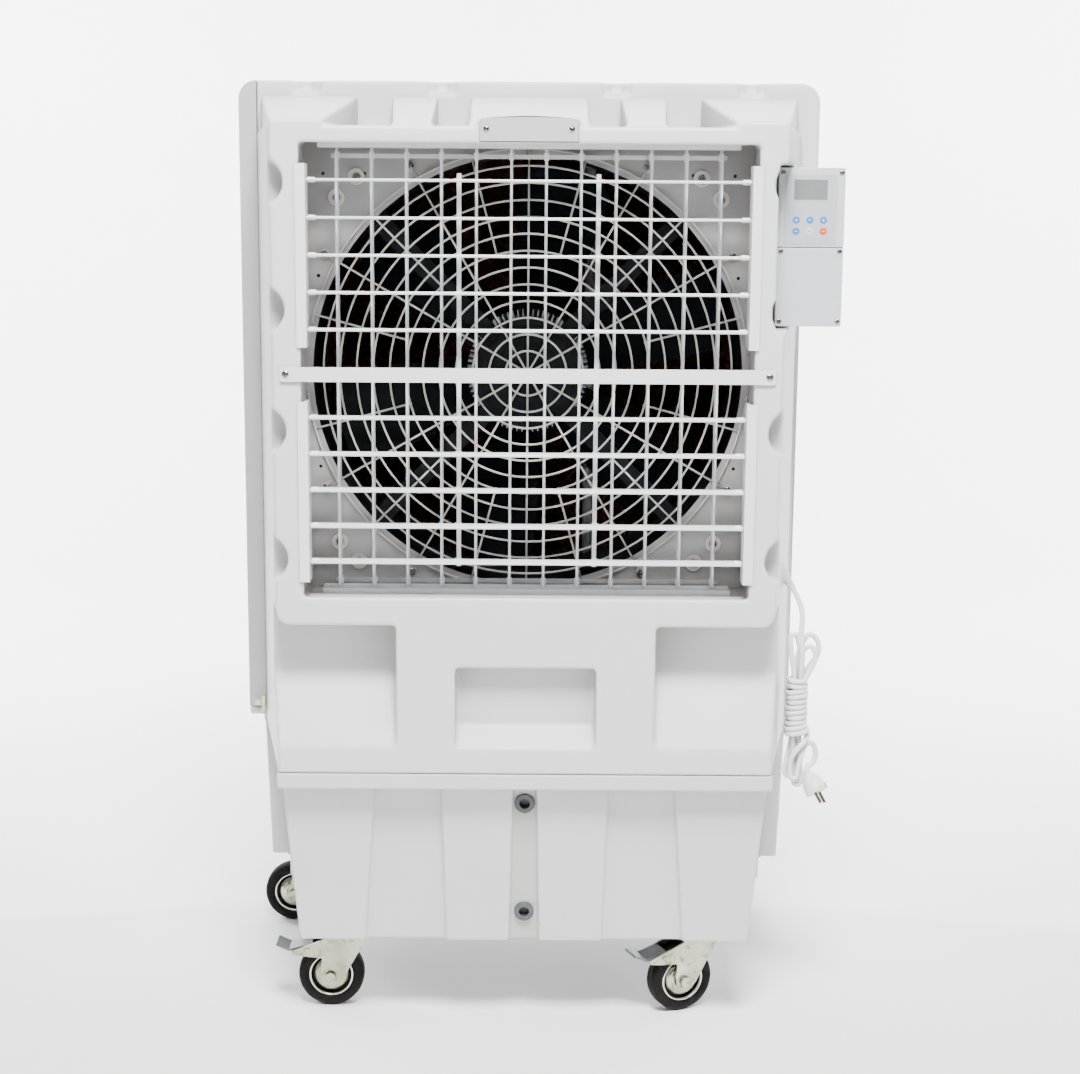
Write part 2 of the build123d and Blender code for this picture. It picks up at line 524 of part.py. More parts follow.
def fan_guard():
    ring_y0, spoke_y0 = PANEL_Y - 2 * WIRE, PANEL_Y - WIRE
    body = cyl_y(0, spoke_y0, PANEL_Y, FAN_Z, 10)
    for angle in range(0, 360, 30):
        reach = GUARD_R if angle in GUARD_BOLT_ANGLES else RING_FIRST + (RING_COUNT - 1) * RING_STEP + 2
        spoke = block(0, reach, spoke_y0, PANEL_Y, -WIRE / 2, WIRE / 2)
        if angle in GUARD_BOLT_ANGLES:
            spoke += cyl_y(GUARD_R, spoke_y0, PANEL_Y, 0, 7)
            spoke -= cyl_y(GUARD_R, spoke_y0 - 1, PANEL_Y + 1, 0, 3 + RUNNING)
        body += Pos(0, 0, FAN_Z) * Rot(0, -angle, 0) * spoke
    for angle in range(15, 360, 30):
        spoke = block(RING_FIRST + 6 * RING_STEP, RING_FIRST + (RING_COUNT - 1) * RING_STEP + 2,
                      spoke_y0, PANEL_Y, -WIRE / 2, WIRE / 2)
        body += Pos(0, 0, FAN_Z) * Rot(0, -angle, 0) * spoke
    for k in range(RING_COUNT):
        radius = RING_FIRST + k * RING_STEP
        ring = cyl_y(0, ring_y0, spoke_y0, FAN_Z, radius + WIRE / 2)
        ring -= cyl_y(0, ring_y0 - 1, spoke_y0 + 1, FAN_Z, radius - WIRE / 2)
        body += ring
    return body & block(-GUARD_SIDE, GUARD_SIDE, ring_y0 - 1, PANEL_Y + 1, GUARD_LOW, FAN_Z + 400)


# ------------------------------------------------------------------ outlet blades
RAIL_IN, RAIL_WEB, RAIL_OUT = 304.0, 309.0, 318.0
RAIL_SPANS = ((1013.0, 1262.0), (684.0, 938.0))
RAIL_BACK = -286.0
STRIP_HALF = 291.0
STRIP_T = 8.0
BLADE_T = 2.6
LINK_T, LINK_W = 3.0, 6.0
EAR_T = 2.6
EAR_GAP = 0.4


def blade_rails():
    group = []
    for low, high in RAIL_SPANS:
        rail = block(-RAIL_OUT, -RAIL_IN, OUTLET_Y - 3, OUTLET_Y, low, high)
        rail += block(-RAIL_WEB, -RAIL_IN, OUTLET_Y - 1, RAIL_BACK, low, high)
        for z in LOUVRE_Z:
            if low < z < high:
                rail -= cyl_x(-RAIL_WEB - 1, -RAIL_IN + 1, LOUVRE_Y, z, PIVOT_R + RUNNING)
        group += [rail, mirror(rail, about=Plane.YZ)]
    for z0 in (OPEN_LOW - 2.5, OPEN_HIGH + 2.5 - STRIP_T):
        strip = block(-STRIP_HALF, STRIP_HALF, VANE_Y - 24, VANE_Y + 10, z0, z0 + STRIP_T)
        for x in VANE_X:
            strip -= cyl_z(x, VANE_Y, z0 - 1, z0 + STRIP_T + 1, PIVOT_R + RUNNING)
        group.append(strip)
    return Compound(group)


def blade(length0, length1, pin0, pin1, ears):
    """One outlet blade along local X; its chord is local Y, its link pins sit at +Y.

    ears holds (position along the blade, +1 or -1): the side of the link rod the ear is on.
    """
    body = block(length0, length1, -CHORD_FRONT, CHORD_REAR, -BLADE_T / 2, BLADE_T / 2)
    body += cyl_x(length0, length1, -CHORD_FRONT, 0, BLADE_T / 2 + 0.5)
    body += cyl_x(pin0, pin1, 0, 0, PIVOT_R)
    body += cyl_x(length0, length0 + 10, 0, 0, 3.6) + cyl_x(length1 - 10, length1, 0, 0, 3.6)
    for place, side in ears:
        near = place + side * (LINK_W / 2 + EAR_GAP)
        far = near + side * EAR_T
        body += block(min(near, far), max(near, far), 0, LINK_ARM + 2.6, -BLADE_T / 2, BLADE_T / 2)
        pin_end = place - side * (LINK_W / 2 + 1.2)
        body += cyl_x(min(pin_end, far), max(pin_end, far), LINK_ARM, 0, LINK_PIN_R)
    # the blade is cut away where the link rod passes
    for place, _ in ears:
        body -= block(place - LINK_W / 2 - EAR_GAP, place + LINK_W / 2 + EAR_GAP,
                      LINK_ARM - 9, LINK_ARM - 3.2, -5, 5)
    return body


def louvre(height):
    ears = [(x, 1 if x > 0 else -1) for x in LOUVRE_LINK_X]
    shape = blade(-LOUVRE_HALF, LOUVRE_HALF, -RAIL_WEB + 0.5, RAIL_WEB - 0.5, ears)
    return Pos(0, LOUVRE_Y, height) * shape


def vane(x):
    middle = (VANE_LOW + VANE_HIGH) / 2
    ears = [(z - middle, -1 if z > middle else 1) for z in VANE_LINK_Z]
    low_pin = OPEN_LOW - 2.5 + 1.0 - middle
    high_pin = OPEN_HIGH + 2.5 - 1.0 - middle
    shape = blade(VANE_LOW - middle, VANE_HIGH - middle, low_pin, high_pin, ears)
    return Pos(x, VANE_Y, middle) * Rot(0, -90, 0) * shape


def link_rod(start, end, places):
    """Link rod along local X with a pin hole at each place; the pins run along local Z."""
    rod = block(start, end, -LINK_T / 2, LINK_T / 2, -LINK_W / 2, LINK_W / 2)
    for place in places:
        rod += cyl_z(place, 0, -LINK_W / 2, LINK_W / 2, LINK_PIN_R + 1.6)
    for place in places:
        rod -= cyl_z(place, 0, -LINK_W, LINK_W, LINK_PIN_R + 0.3)
    return rod


def louvre_link():
    rod = link_rod(min(LOUVRE_Z) - 10, max(LOUVRE_Z) + 10, LOUVRE_Z)
    upright = Rot(0, -90, 0) * rod
    return Compound([Pos(x, LOUVRE_Y + LINK_ARM, 0) * upright for x in LOUVRE_LINK_X])


def vane_link():
    rod = link_rod(VANE_X[0] - 10, VANE_X[-1] + 10, VANE_X)
    return Compound([Pos(0, VANE_Y + LINK_ARM, z) * rod for z in VANE_LINK_Z])


def cross_bar():
    bar = block(-342, 342, BAR_FRONT, BAR_FRONT + BAR_DEPTH, BLADE_MID_Z - 10, BLADE_MID_Z + 10)
    bar = fillet(bar.edges().filter_by(Axis.Y), 3)
    for x, z in CROSS_BAR_SCREWS:
        bar -= cyl_y(x, BAR_FRONT - 1, OUTLET_Y + 1, z, SCREW_SHANK + RUNNING)
    return bar


def name_plate():
    plate = block(-66.5, 66.5, OUTLET_Y - PLATE_DEPTH, OUTLET_Y, 1293, 1325)
    top = [e for e in plate.edges().filter_by(Axis.Y) if e.center().Z > 1320]
    plate = fillet(top, 7)
    for x, z in NAME_PLATE_SCREWS:
        plate -= cyl_y(x, OUTLET_Y - 5, OUTLET_Y + 1, z, SCREW_SHANK + RUNNING)
    return plate


# ------------------------------------------------------------------ controls
LID_T = 6.0
KEY_COLUMNS, KEY_ROWS = (373.5, 392.5, 411.5), (1190.0, 1174.5)
KEY_R = 5.1
OVERLAY = (357.0, 430.0, 1156.0, 1253.0)
WINDOW = (368.5, 417.0, 1217.0, 1246.5)


def control_box():
    body = block(BOX_LEFT, BOX_RIGHT, BOX_FRONT + LID_T, BOX_BACK, BOX_LOW, BOX_HIGH)
    body = fillet(body.edges().filter_by(Axis.Y), 4)
    body -= block(BOX_LEFT + 3, BOX_RIGHT - 3, BOX_FRONT + LID_T - 1, BOX_BACK - 3, BOX_LOW + 3, BOX_HIGH - 3)
    for x, z in LID_SCREWS:
        post = block(x - 5.5, x + 5.5, BOX_FRONT + LID_T, BOX_BACK - 2, z - 5.5, z + 5.5)
        body += post & block(BOX_LEFT + 1, BOX_RIGHT - 1, BOX_FRONT, BOX_BACK, BOX_LOW + 1, BOX_HIGH - 1)
        body -= cyl_y(x, BOX_FRONT, BOX_FRONT + LID_T + 14, z, SCREW_SHANK + RUNNING)
    return body


def control_lids():
    middle = (BOX_LOW + BOX_HIGH) / 2
    group = []
    for low, high in ((BOX_LOW, middle - 0.5), (middle + 0.5, BOX_HIGH)):
        lid = block(BOX_LEFT, BOX_RIGHT, BOX_FRONT, BOX_FRONT + LID_T, low, high)
        lid = fillet(lid.edges().filter_by(Axis.Y), 3)
        lid = fillet(lid.edges().group_by(Axis.Y)[0], 1.2)
        for x, z in LID_SCREWS:
            if low < z < high:
                lid -= cyl_y(x, BOX_FRONT - 1, BOX_FRONT + LID_T + 1, z, SCREW_SHANK + RUNNING)
        group.append(lid)
    return Compound(group)


def control_panel():
    x0, x1, z0, z1 = OVERLAY
    overlay = block(x0, x1, BOX_FRONT - 0.6, BOX_FRONT, z0, z1)
    overlay = fillet(overlay.edges().filter_by(Axis.Y), 3)
    wx0, wx1, wz0, wz1 = WINDOW
    overlay -= block(wx0, wx1, BOX_FRONT - 1, BOX_FRONT + 1, wz0, wz1)
    for x in KEY_COLUMNS:
        for z in KEY_ROWS:
            overlay += cyl_y(x, BOX_FRONT - 1.1, BOX_FRONT - 0.3, z, KEY_R)
    display = block(wx0 + 0.3, wx1 - 0.3, BOX_FRONT - 0.4, BOX_FRONT, wz0 + 0.3, wz1 - 0.3)
    return Compound([overlay, display])


# ------------------------------------------------------------------ pad frames
SLAT_PITCH = 32.0
FRAME_BAR = 22.0


def pad_frame(width, depth, height):
    """Slatted frame standing on the origin: width along X, outer face at y = -depth, back at y = 0."""
    body = block(0, width, -depth, 0, 0, height)
    body -= block(FRAME_BAR, width - FRAME_BAR, -depth - 1, 1, FRAME_BAR, height - FRAME_BAR)
    rise = depth * 0.9
    count = int((height - 2 * FRAME_BAR - rise) / SLAT_PITCH)
    gap = (height - 2 * FRAME_BAR) / (count + 1)
    for k in range(count + 1):
        low = FRAME_BAR + gap * k + 4
        slat = prism_x([(-depth + 1, low), (-1, low + rise), (-1, low + rise + 3), (-depth + 1, low + 3)],
                       FRAME_BAR - 3, width - FRAME_BAR + 3)
        body += slat
    for x in (width / 3, 2 * width / 3):
        body += block(x - 2, x + 2, -4, -1, FRAME_BAR - 3, height - FRAME_BAR + 3)
    return body


FRAME_LOW, FRAME_HIGH = SILL_HIGH + 0.6, SKIRT_LOW - 0.6
LEFT_FRAME_BACK = 289.4
FRAME_CLEAR = 0.4


def left_pad_frame():
    frame = pad_frame(LEFT_FRAME_BACK - FLANGE_Y, CAP_HALF - SHELL_HALF_BACK - FRAME_CLEAR, FRAME_HIGH - FRAME_LOW)
    frame = Pos(-SHELL_HALF_BACK - FRAME_CLEAR, LEFT_FRAME_BACK, FRAME_LOW) * Rot(0, 0, -90) * frame
    head = rounded_top(block(-CAP_HALF, 0, FLANGE_Y, LEFT_FRAME_BACK, FRAME_HIGH - 1, TOP_Z), CAP_CORNER)
    return frame + (head & block(-CAP_HALF, -SHELL_HALF_BACK - FRAME_CLEAR, FLANGE_Y, LEFT_FRAME_BACK,
                                 FRAME_HIGH - 1, TOP_Z))


def right_pad_frame():
    front = FAIRING_BACK + 5
    frame = pad_frame(LEFT_FRAME_BACK - front, RIGHT_FRAME_X - SIDE_RIGHT - FRAME_CLEAR, FRAME_HIGH - FRAME_LOW)
    return Pos(SIDE_RIGHT + FRAME_CLEAR, front, FRAME_LOW) * Rot(0, 0, 90) * frame


def rear_pad_frame():
    half = POST_IN_RIGHT - 0.6
    frame = pad_frame(2 * half, REAR_Y - CABINET_Y - FRAME_CLEAR, FRAME_HIGH - FRAME_LOW)
    return Pos(half, CABINET_Y + FRAME_CLEAR, FRAME_LOW) * Rot(0, 0, 180) * frame


def pad_clip():
    """Snap clip on the lower front corner of the left pad frame."""
    body = block(-425, -409, FLANGE_Y - 6, FLANGE_Y, 430, 439)
    body += block(-414, -408.5, FLANGE_Y - 8, FLANGE_Y, 420, 446)
    body += block(-424, -416, FLANGE_Y - 9, FLANGE_Y - 5, 431, 438)
    return body


# ------------------------------------------------------------------ castors (local: swivel axis at x = y = 0)
PLATE_T = 3.0
PIN_R = 6.0
FORK_TOP = 122.0
CHEEK_IN, CHEEK_T = 18.0, 3.0
AXLE_R = 5.0


def castor_plate(with_height):
    top = with_height
    body = block(-33, 33, -46, 46, top - PLATE_T, top)
    for sx in (-1, 1):
        for sy in (-1, 1):
            body += cyl_z(sx * 25, sy * 36, top - PLATE_T - 4.5, top - PLATE_T, 6)
    body += cyl_z(0, 0, FORK_TOP + 5.3, top - PLATE_T, 23)
    body += cyl_z(0, 0, 112, top - PLATE_T, PIN_R)
    body += cyl_z(0, 0, 111, 117.6, 10)
    return body


def castor_fork(horn):
    body = cyl_z(0, 0, FORK_TOP - 4, FORK_TOP, 31)
    body += cyl_z(0, 0, FORK_TOP - 1, FORK_TOP + 5, 27)
    body += block(-30, 22, -CHEEK_IN - CHEEK_T, CHEEK_IN + CHEEK_T, FORK_TOP - 4, FORK_TOP)
    outline = [(28, FORK_TOP), (25, 105), (12, 83), (1, 63), (-8, 47), (-18, 38), (-31, 36), (-40, 44),
               (-42, 60), (-40, 79)]
    if horn:
        outline += [(-68, 82), (-86, 85), (-87, 90), (-52, 103), (-30, 112), (-24, FORK_TOP)]
    else:
        outline = outline[:-2] + [(-36, 58), (-31, 74), (-30, 86), (-22, 104), (-12, FORK_TOP)]
    for y in (-CHEEK_IN - CHEEK_T, CHEEK_IN):
        body += prism_y(outline, y, y + CHEEK_T)
    reach = CHEEK_IN + CHEEK_T + 6
    body += cyl_y(-CASTOR_TRAIL, -reach, reach, CASTOR_R, AXLE_R)
    for y0, y1 in ((-reach, -CHEEK_IN - CHEEK_T), (CHEEK_IN + CHEEK_T, reach)):
        body += cyl_y(-CASTOR_TRAIL, y0, y1, CASTOR_R, 8)
    if horn:
        body += cyl_y(PEDAL_PIVOT[0], -CHEEK_IN - CHEEK_T - 2, CHEEK_IN + CHEEK_T + 2, PEDAL_PIVOT[1], 3)
    return body - cyl_z(0, 0, 100, FORK_TOP + 6, PIN_R + RUNNING)


def castor_wheel():
    half = CASTOR_WIDTH / 2
    tyre = cyl_y(0, -half, half, 0, CASTOR_R)
    tyre = fillet(tyre.edges().filter_by(GeomType.CIRCLE), 5)
    tyre -= cyl_y(0, -half - 1, half + 1, 0, 34)
    hub = cyl_y(0, -half + 1, half - 1, 0, 34)
    hub -= cyl_y(0, -half, -half + 5, 0, 30) + cyl_y(0, half - 5, half, 0, 30)
    hub += cyl_y(0, -half - 1, half + 1, 0, 12)
    hub -= cyl_y(0, -half - 2, half + 2, 0, AXLE_R + RUNNING)
    return Pos(-CASTOR_TRAIL, 0, CASTOR_R) * Compound([tyre, hub])


PEDAL_PIVOT = (-62.0, 92.0)


def brake_pedal():
    """Pressed tread plate pivoting in the fork's horn; it lies clear above the tyre."""
    width = CHEEK_IN - 0.5
    profile = [(-56, 100), (-70, 97.5), (-82, 94.5), (-90, 92.5), (-109, 101), (-111, 98), (-91, 89),
               (-82, 91), (-70, 94), (-56, 97)]
    body = prism_y(profile, -width, width)
    for y0, y1 in ((-width, -width + 3), (width - 3, width)):
        body += cyl_y(PEDAL_PIVOT[0], y0, y1, PEDAL_PIVOT[1], 6.5)
    return body - cyl_y(PEDAL_PIVOT[0], -40, 40, PEDAL_PIVOT[1], 3 + RUNNING)


def place(spec, shape):
    x, y, yaw = spec
    return Pos(x, y, 0) * Rot(0, 0, yaw) * shape


# ------------------------------------------------------------------ mains lead
def cable_gland():
    """Tapered strain relief that points down and outwards."""
    axis = Plane(origin=GLAND_START, z_dir=GLAND_DIR)
    body = axis * Pos(0, 0, 4) * Cylinder(10, 8)
    body += axis * Pos(0, 0, 8 + (GLAND_LENGTH - 8) / 2) * Cone(7.5, 4.6, GLAND_LENGTH - 8)
    return body


def cord_points():
    exit_point = GLAND_START + GLAND_DIR * GLAND_LENGTH
    return [exit_point] + [Vector(*p) for p in CORD_ROUTE]


def cord_radii(points):
    radii = []
    for before, at, after in zip(points, points[1:], points[2:]):
        turn = math.radians((at - before).get_angle(after - at))
        shorter = min((at - before).length, (after - at).length)
        radii.append(0.45 * shorter / math.tan(turn / 2))
    return radii


def power_cord():
    points = cord_points()
    radii = cord_radii(points)
    path = FilletPolyline(*points, radius=radii)
    section = Plane(origin=points[0], z_dir=points[1] - points[0]) * Circle(CORD_D / 2)
    tube = sweep(section, path=path)
    ideal = math.pi * (CORD_D / 2) ** 2 * path.length
    print("cord arc radii", [round(r, 1) for r in radii], "tube length", round(path.length, 1),
          "volume ratio", round(tube.volume / ideal, 4))
    return tube


HANK_OUTLINE = [(386, 590), (428, 590), (438, 574), (436, 548), (424, 520), (421, 424), (430, 404), (428, 380),
                (418, 362), (392, 360), (384, 372), (383, 424), (383, 520), (382, 574)]
HANK_HALF = 18.0


def cord_hank():
    """Outer shape of the bundled lead: loops above and below a wrapped waist."""
    body = prism_y(HANK_OUTLINE, CORD_PLANE_Y - HANK_HALF, CORD_PLANE_Y + HANK_HALF)
    return fillet(body.edges().filter_by(Axis.Y), 3)


def power_plug():
    axis = Plane(origin=PLUG_START, z_dir=PLUG_DIR)
    body = axis * Pos(0, 0, 9) * Cone(5.5, 12, 18)
    body += axis * Pos(0, 0, 27) * Cylinder(16.5, 18)
    for offset in (-9, 9):
        body += axis * Pos(offset, 0, 44.5) * Cylinder(2.4, 17)
    return body


# ------------------------------------------------------------------ export
def castor_group():
    nodes = {}
    plates = []
    for name, spec in {**FRONT_CASTORS, **REAR_CASTORS}.items():
        braked = name in FRONT_CASTORS
        plates.append(place(spec[:2] + (0.0,), castor_plate(TANK_BOTTOM)))
        nodes[f"castor_fork_{name}"] = place(spec, castor_fork(braked))
        nodes[f"castor_wheel_{name}"] = place(spec, castor_wheel())
        if braked:
            nodes[f"brake_pedal_{name}"] = place(spec, brake_pedal())
    nodes["castor_plates"] = Compound(plates)
    return nodes


def build():
    nodes = {
        "front_shell": front_shell(), "rear_cabinet": rear_cabinet(), "water_tank": water_tank(),
        "fan_panel": fan_panel(), "fan_motor": fan_motor(), "fan_rotor": fan_rotor(), "fan_guard": fan_guard(),
        "blade_rails": blade_rails(), "cross_bar": cross_bar(), "name_plate": name_plate(),
        "housing_screws": housing_screws(), "control_box": control_box(), "control_lids": control_lids(),
        "control_panel": control_panel(), "cable_gland": cable_gland(), "power_cord": power_cord(),
        "cord_hank": cord_hank(), "power_plug": power_plug(), "water_distributor": water_distributor(),
        "tank_fittings": tank_fittings(),
        "cooling_pads": cooling_pads(), "left_pad_frame": left_pad_frame(), "right_pad_frame": right_pad_frame(),
        "rear_pad_frame": rear_pad_frame(), "pad_clip": pad_clip(), "louvre_link": louvre_link(),
        "vane_link": vane_link(),
    }
    for number, height in enumerate(LOUVRE_Z, 1):
        nodes[f"louvre_{number:02d}"] = louvre(height)
    for number, x in enumerate(VANE_X, 1):
        nodes[f"vane_{number:02d}"] = vane(x)
    nodes.update(castor_group())
    return nodes


for node_name, node_shape in build().items():
    export(node_shape, node_name)
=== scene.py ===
"""Looks for the evaporative cooler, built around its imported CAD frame.  Metres, Z up, the air outlet faces -Y."""
import json
import math

import bmesh
import bpy
from mathutils import Matrix, Vector


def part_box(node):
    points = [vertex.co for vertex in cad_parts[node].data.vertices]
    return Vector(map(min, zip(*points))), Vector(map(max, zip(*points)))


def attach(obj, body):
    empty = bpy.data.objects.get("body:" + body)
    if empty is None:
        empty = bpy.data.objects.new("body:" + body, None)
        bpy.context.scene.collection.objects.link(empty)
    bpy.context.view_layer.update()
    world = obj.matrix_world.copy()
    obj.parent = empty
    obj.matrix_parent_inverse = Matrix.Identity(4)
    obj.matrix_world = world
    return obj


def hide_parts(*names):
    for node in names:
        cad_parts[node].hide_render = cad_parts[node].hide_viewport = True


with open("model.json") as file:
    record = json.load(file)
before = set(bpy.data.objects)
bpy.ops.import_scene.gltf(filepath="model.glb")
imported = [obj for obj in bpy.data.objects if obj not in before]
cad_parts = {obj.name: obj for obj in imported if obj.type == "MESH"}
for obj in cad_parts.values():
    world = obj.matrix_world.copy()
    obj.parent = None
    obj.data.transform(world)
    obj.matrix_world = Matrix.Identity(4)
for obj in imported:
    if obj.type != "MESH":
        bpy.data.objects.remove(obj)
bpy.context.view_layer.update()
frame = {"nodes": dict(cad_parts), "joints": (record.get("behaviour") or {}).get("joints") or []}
NODES = frame["nodes"]
JOINTS = {joint["name"]: joint for joint in frame["joints"]}
MM = 0.001
HOUSING = "housing"


def srgb(red, green, blue):
    """Linear colour from 0..255 display values."""
    out = []
    for value in (red, green, blue):
        share = value / 255
        out.append(share / 12.92 if share <= 0.04045 else ((share + 0.055) / 1.055) ** 2.4)
    return tuple(out)


# ------------------------------------------------------------------ materials
def link_noise(tree, coords, scale, detail, stretch=(1, 1, 1)):
    """Noise texture in the object's own space."""
    mapping = tree.nodes.new("ShaderNodeMapping")
    mapping.inputs["Scale"].default_value = stretch
    tree.links.new(coords.outputs["Object"], mapping.inputs["Vector"])
    noise = tree.nodes.new("ShaderNodeTexNoise")
    noise.inputs["Scale"].default_value = scale
    noise.inputs["Detail"].default_value = detail
    tree.links.new(mapping.outputs["Vector"], noise.inputs["Vector"])
    return noise


def tinted(color, factor):
    """Colour scaled by a factor, as RGBA."""
    return tuple(min(1.0, c * factor) for c in color) + (1.0,)


def finish_material(name, color, rough=0.45, metal=0.0, tint=0.03, tint_scale=5.0, stretch=(1, 1, 1),
                    grain=0.0, grain_scale=450.0, rough_spread=0.08, coat=0.0, crevice_shade_and_dirt=0.0,
                    crevice_shade_and_dirt_color=(0.35, 0.33, 0.30), flecks=None, specular=0.5, reach=0.02):
    """Principled material with cloudy colour, uneven gloss, surface grain and crevice darkening: dirt and painted
    shade.

    The darkening gathers where other surfaces stand closer than reach, in metres; with a long reach it is painted
    shade in the recesses.
    """
    material = bpy.data.materials.new(name)
    material.use_nodes = True
    tree = material.node_tree
    shader = tree.nodes["Principled BSDF"]
    shader.inputs["Metallic"].default_value = metal
    shader.inputs["Coat Weight"].default_value = coat
    shader.inputs["Coat Roughness"].default_value = 0.15
    shader.inputs["Specular IOR Level"].default_value = specular
    coords = tree.nodes.new("ShaderNodeTexCoord")

    cloud = link_noise(tree, coords, tint_scale, 5.0, stretch)
    ramp = tree.nodes.new("ShaderNodeValToRGB")
    ramp.color_ramp.elements[0].position = 0.3
    ramp.color_ramp.elements[1].position = 0.7
    ramp.color_ramp.elements[0].color = tinted(color, 1 - tint)
    ramp.color_ramp.elements[1].color = tinted(color, 1 + tint)
    tree.links.new(cloud.outputs["Fac"], ramp.inputs["Fac"])
    color_out = ramp.outputs["Color"]

    if flecks:
        speck = link_noise(tree, coords, flecks["scale"], 2.0)
        speck_ramp = tree.nodes.new("ShaderNodeValToRGB")
        speck_ramp.color_ramp.elements[0].position = flecks["from"]
        speck_ramp.color_ramp.elements[1].position = flecks["from"] + 0.06
        mix = tree.nodes.new("ShaderNodeMix")
        mix.data_type = "RGBA"
        mix.inputs[7].default_value = tuple(flecks["color"]) + (1.0,)
        tree.links.new(speck.outputs["Fac"], speck_ramp.inputs["Fac"])
        tree.links.new(speck_ramp.outputs["Color"], mix.inputs[0])
        tree.links.new(color_out, mix.inputs[6])
        color_out = mix.outputs[2]

    # painted shade and dirt: ambient occlusion mixes the colour towards the crevice colour where other surfaces stand
    # close
    if crevice_shade_and_dirt:
        occlusion = tree.nodes.new("ShaderNodeAmbientOcclusion")
        occlusion.inputs["Distance"].default_value = reach
        occlusion.samples = 4
        shade_and_dirt_ramp = tree.nodes.new("ShaderNodeValToRGB")
        shade_and_dirt_ramp.color_ramp.elements[0].position = 0.25
        shade_and_dirt_ramp.color_ramp.elements[1].position = 0.9
        shade_and_dirt_ramp.color_ramp.elements[0].color = (crevice_shade_and_dirt, crevice_shade_and_dirt, crevice_shade_and_dirt, 1)
        shade_and_dirt_ramp.color_ramp.elements[1].color = (0, 0, 0, 1)
        mix = tree.nodes.new("ShaderNodeMix")
        mix.data_type = "RGBA"
        mix.inputs[7].default_value = tuple(crevice_shade_and_dirt_color) + (1.0,)
        tree.links.new(occlusion.outputs["AO"], shade_and_dirt_ramp.inputs["Fac"])
        tree.links.new(shade_and_dirt_ramp.outputs["Color"], mix.inputs[0])
        tree.links.new(color_out, mix.inputs[6])
        color_out = mix.outputs[2]
    tree.links.new(color_out, shader.inputs["Base Color"])

    gloss = link_noise(tree, coords, 26.0, 4.0, stretch)
    gloss_range = tree.nodes.new("ShaderNodeMapRange")
    gloss_range.inputs["To Min"].default_value = max(0.02, rough - rough_spread)
    gloss_range.inputs["To Max"].default_value = min(1.0, rough + rough_spread)
    tree.links.new(gloss.outputs["Fac"], gloss_range.inputs["Value"])
    tree.links.new(gloss_range.outputs["Result"], shader.inputs["Roughness"])

    if grain:
        texture = link_noise(tree, coords, grain_scale, 3.0, stretch)
        bump = tree.nodes.new("ShaderNodeBump")
        bump.inputs["Strength"].default_value = grain
        bump.inputs["Distance"].default_value = 0.0006
        tree.links.new(texture.outputs["Fac"], bump.inputs["Height"])
        tree.links.new(bump.outputs["Normal"], shader.inputs["Normal"])
    return material


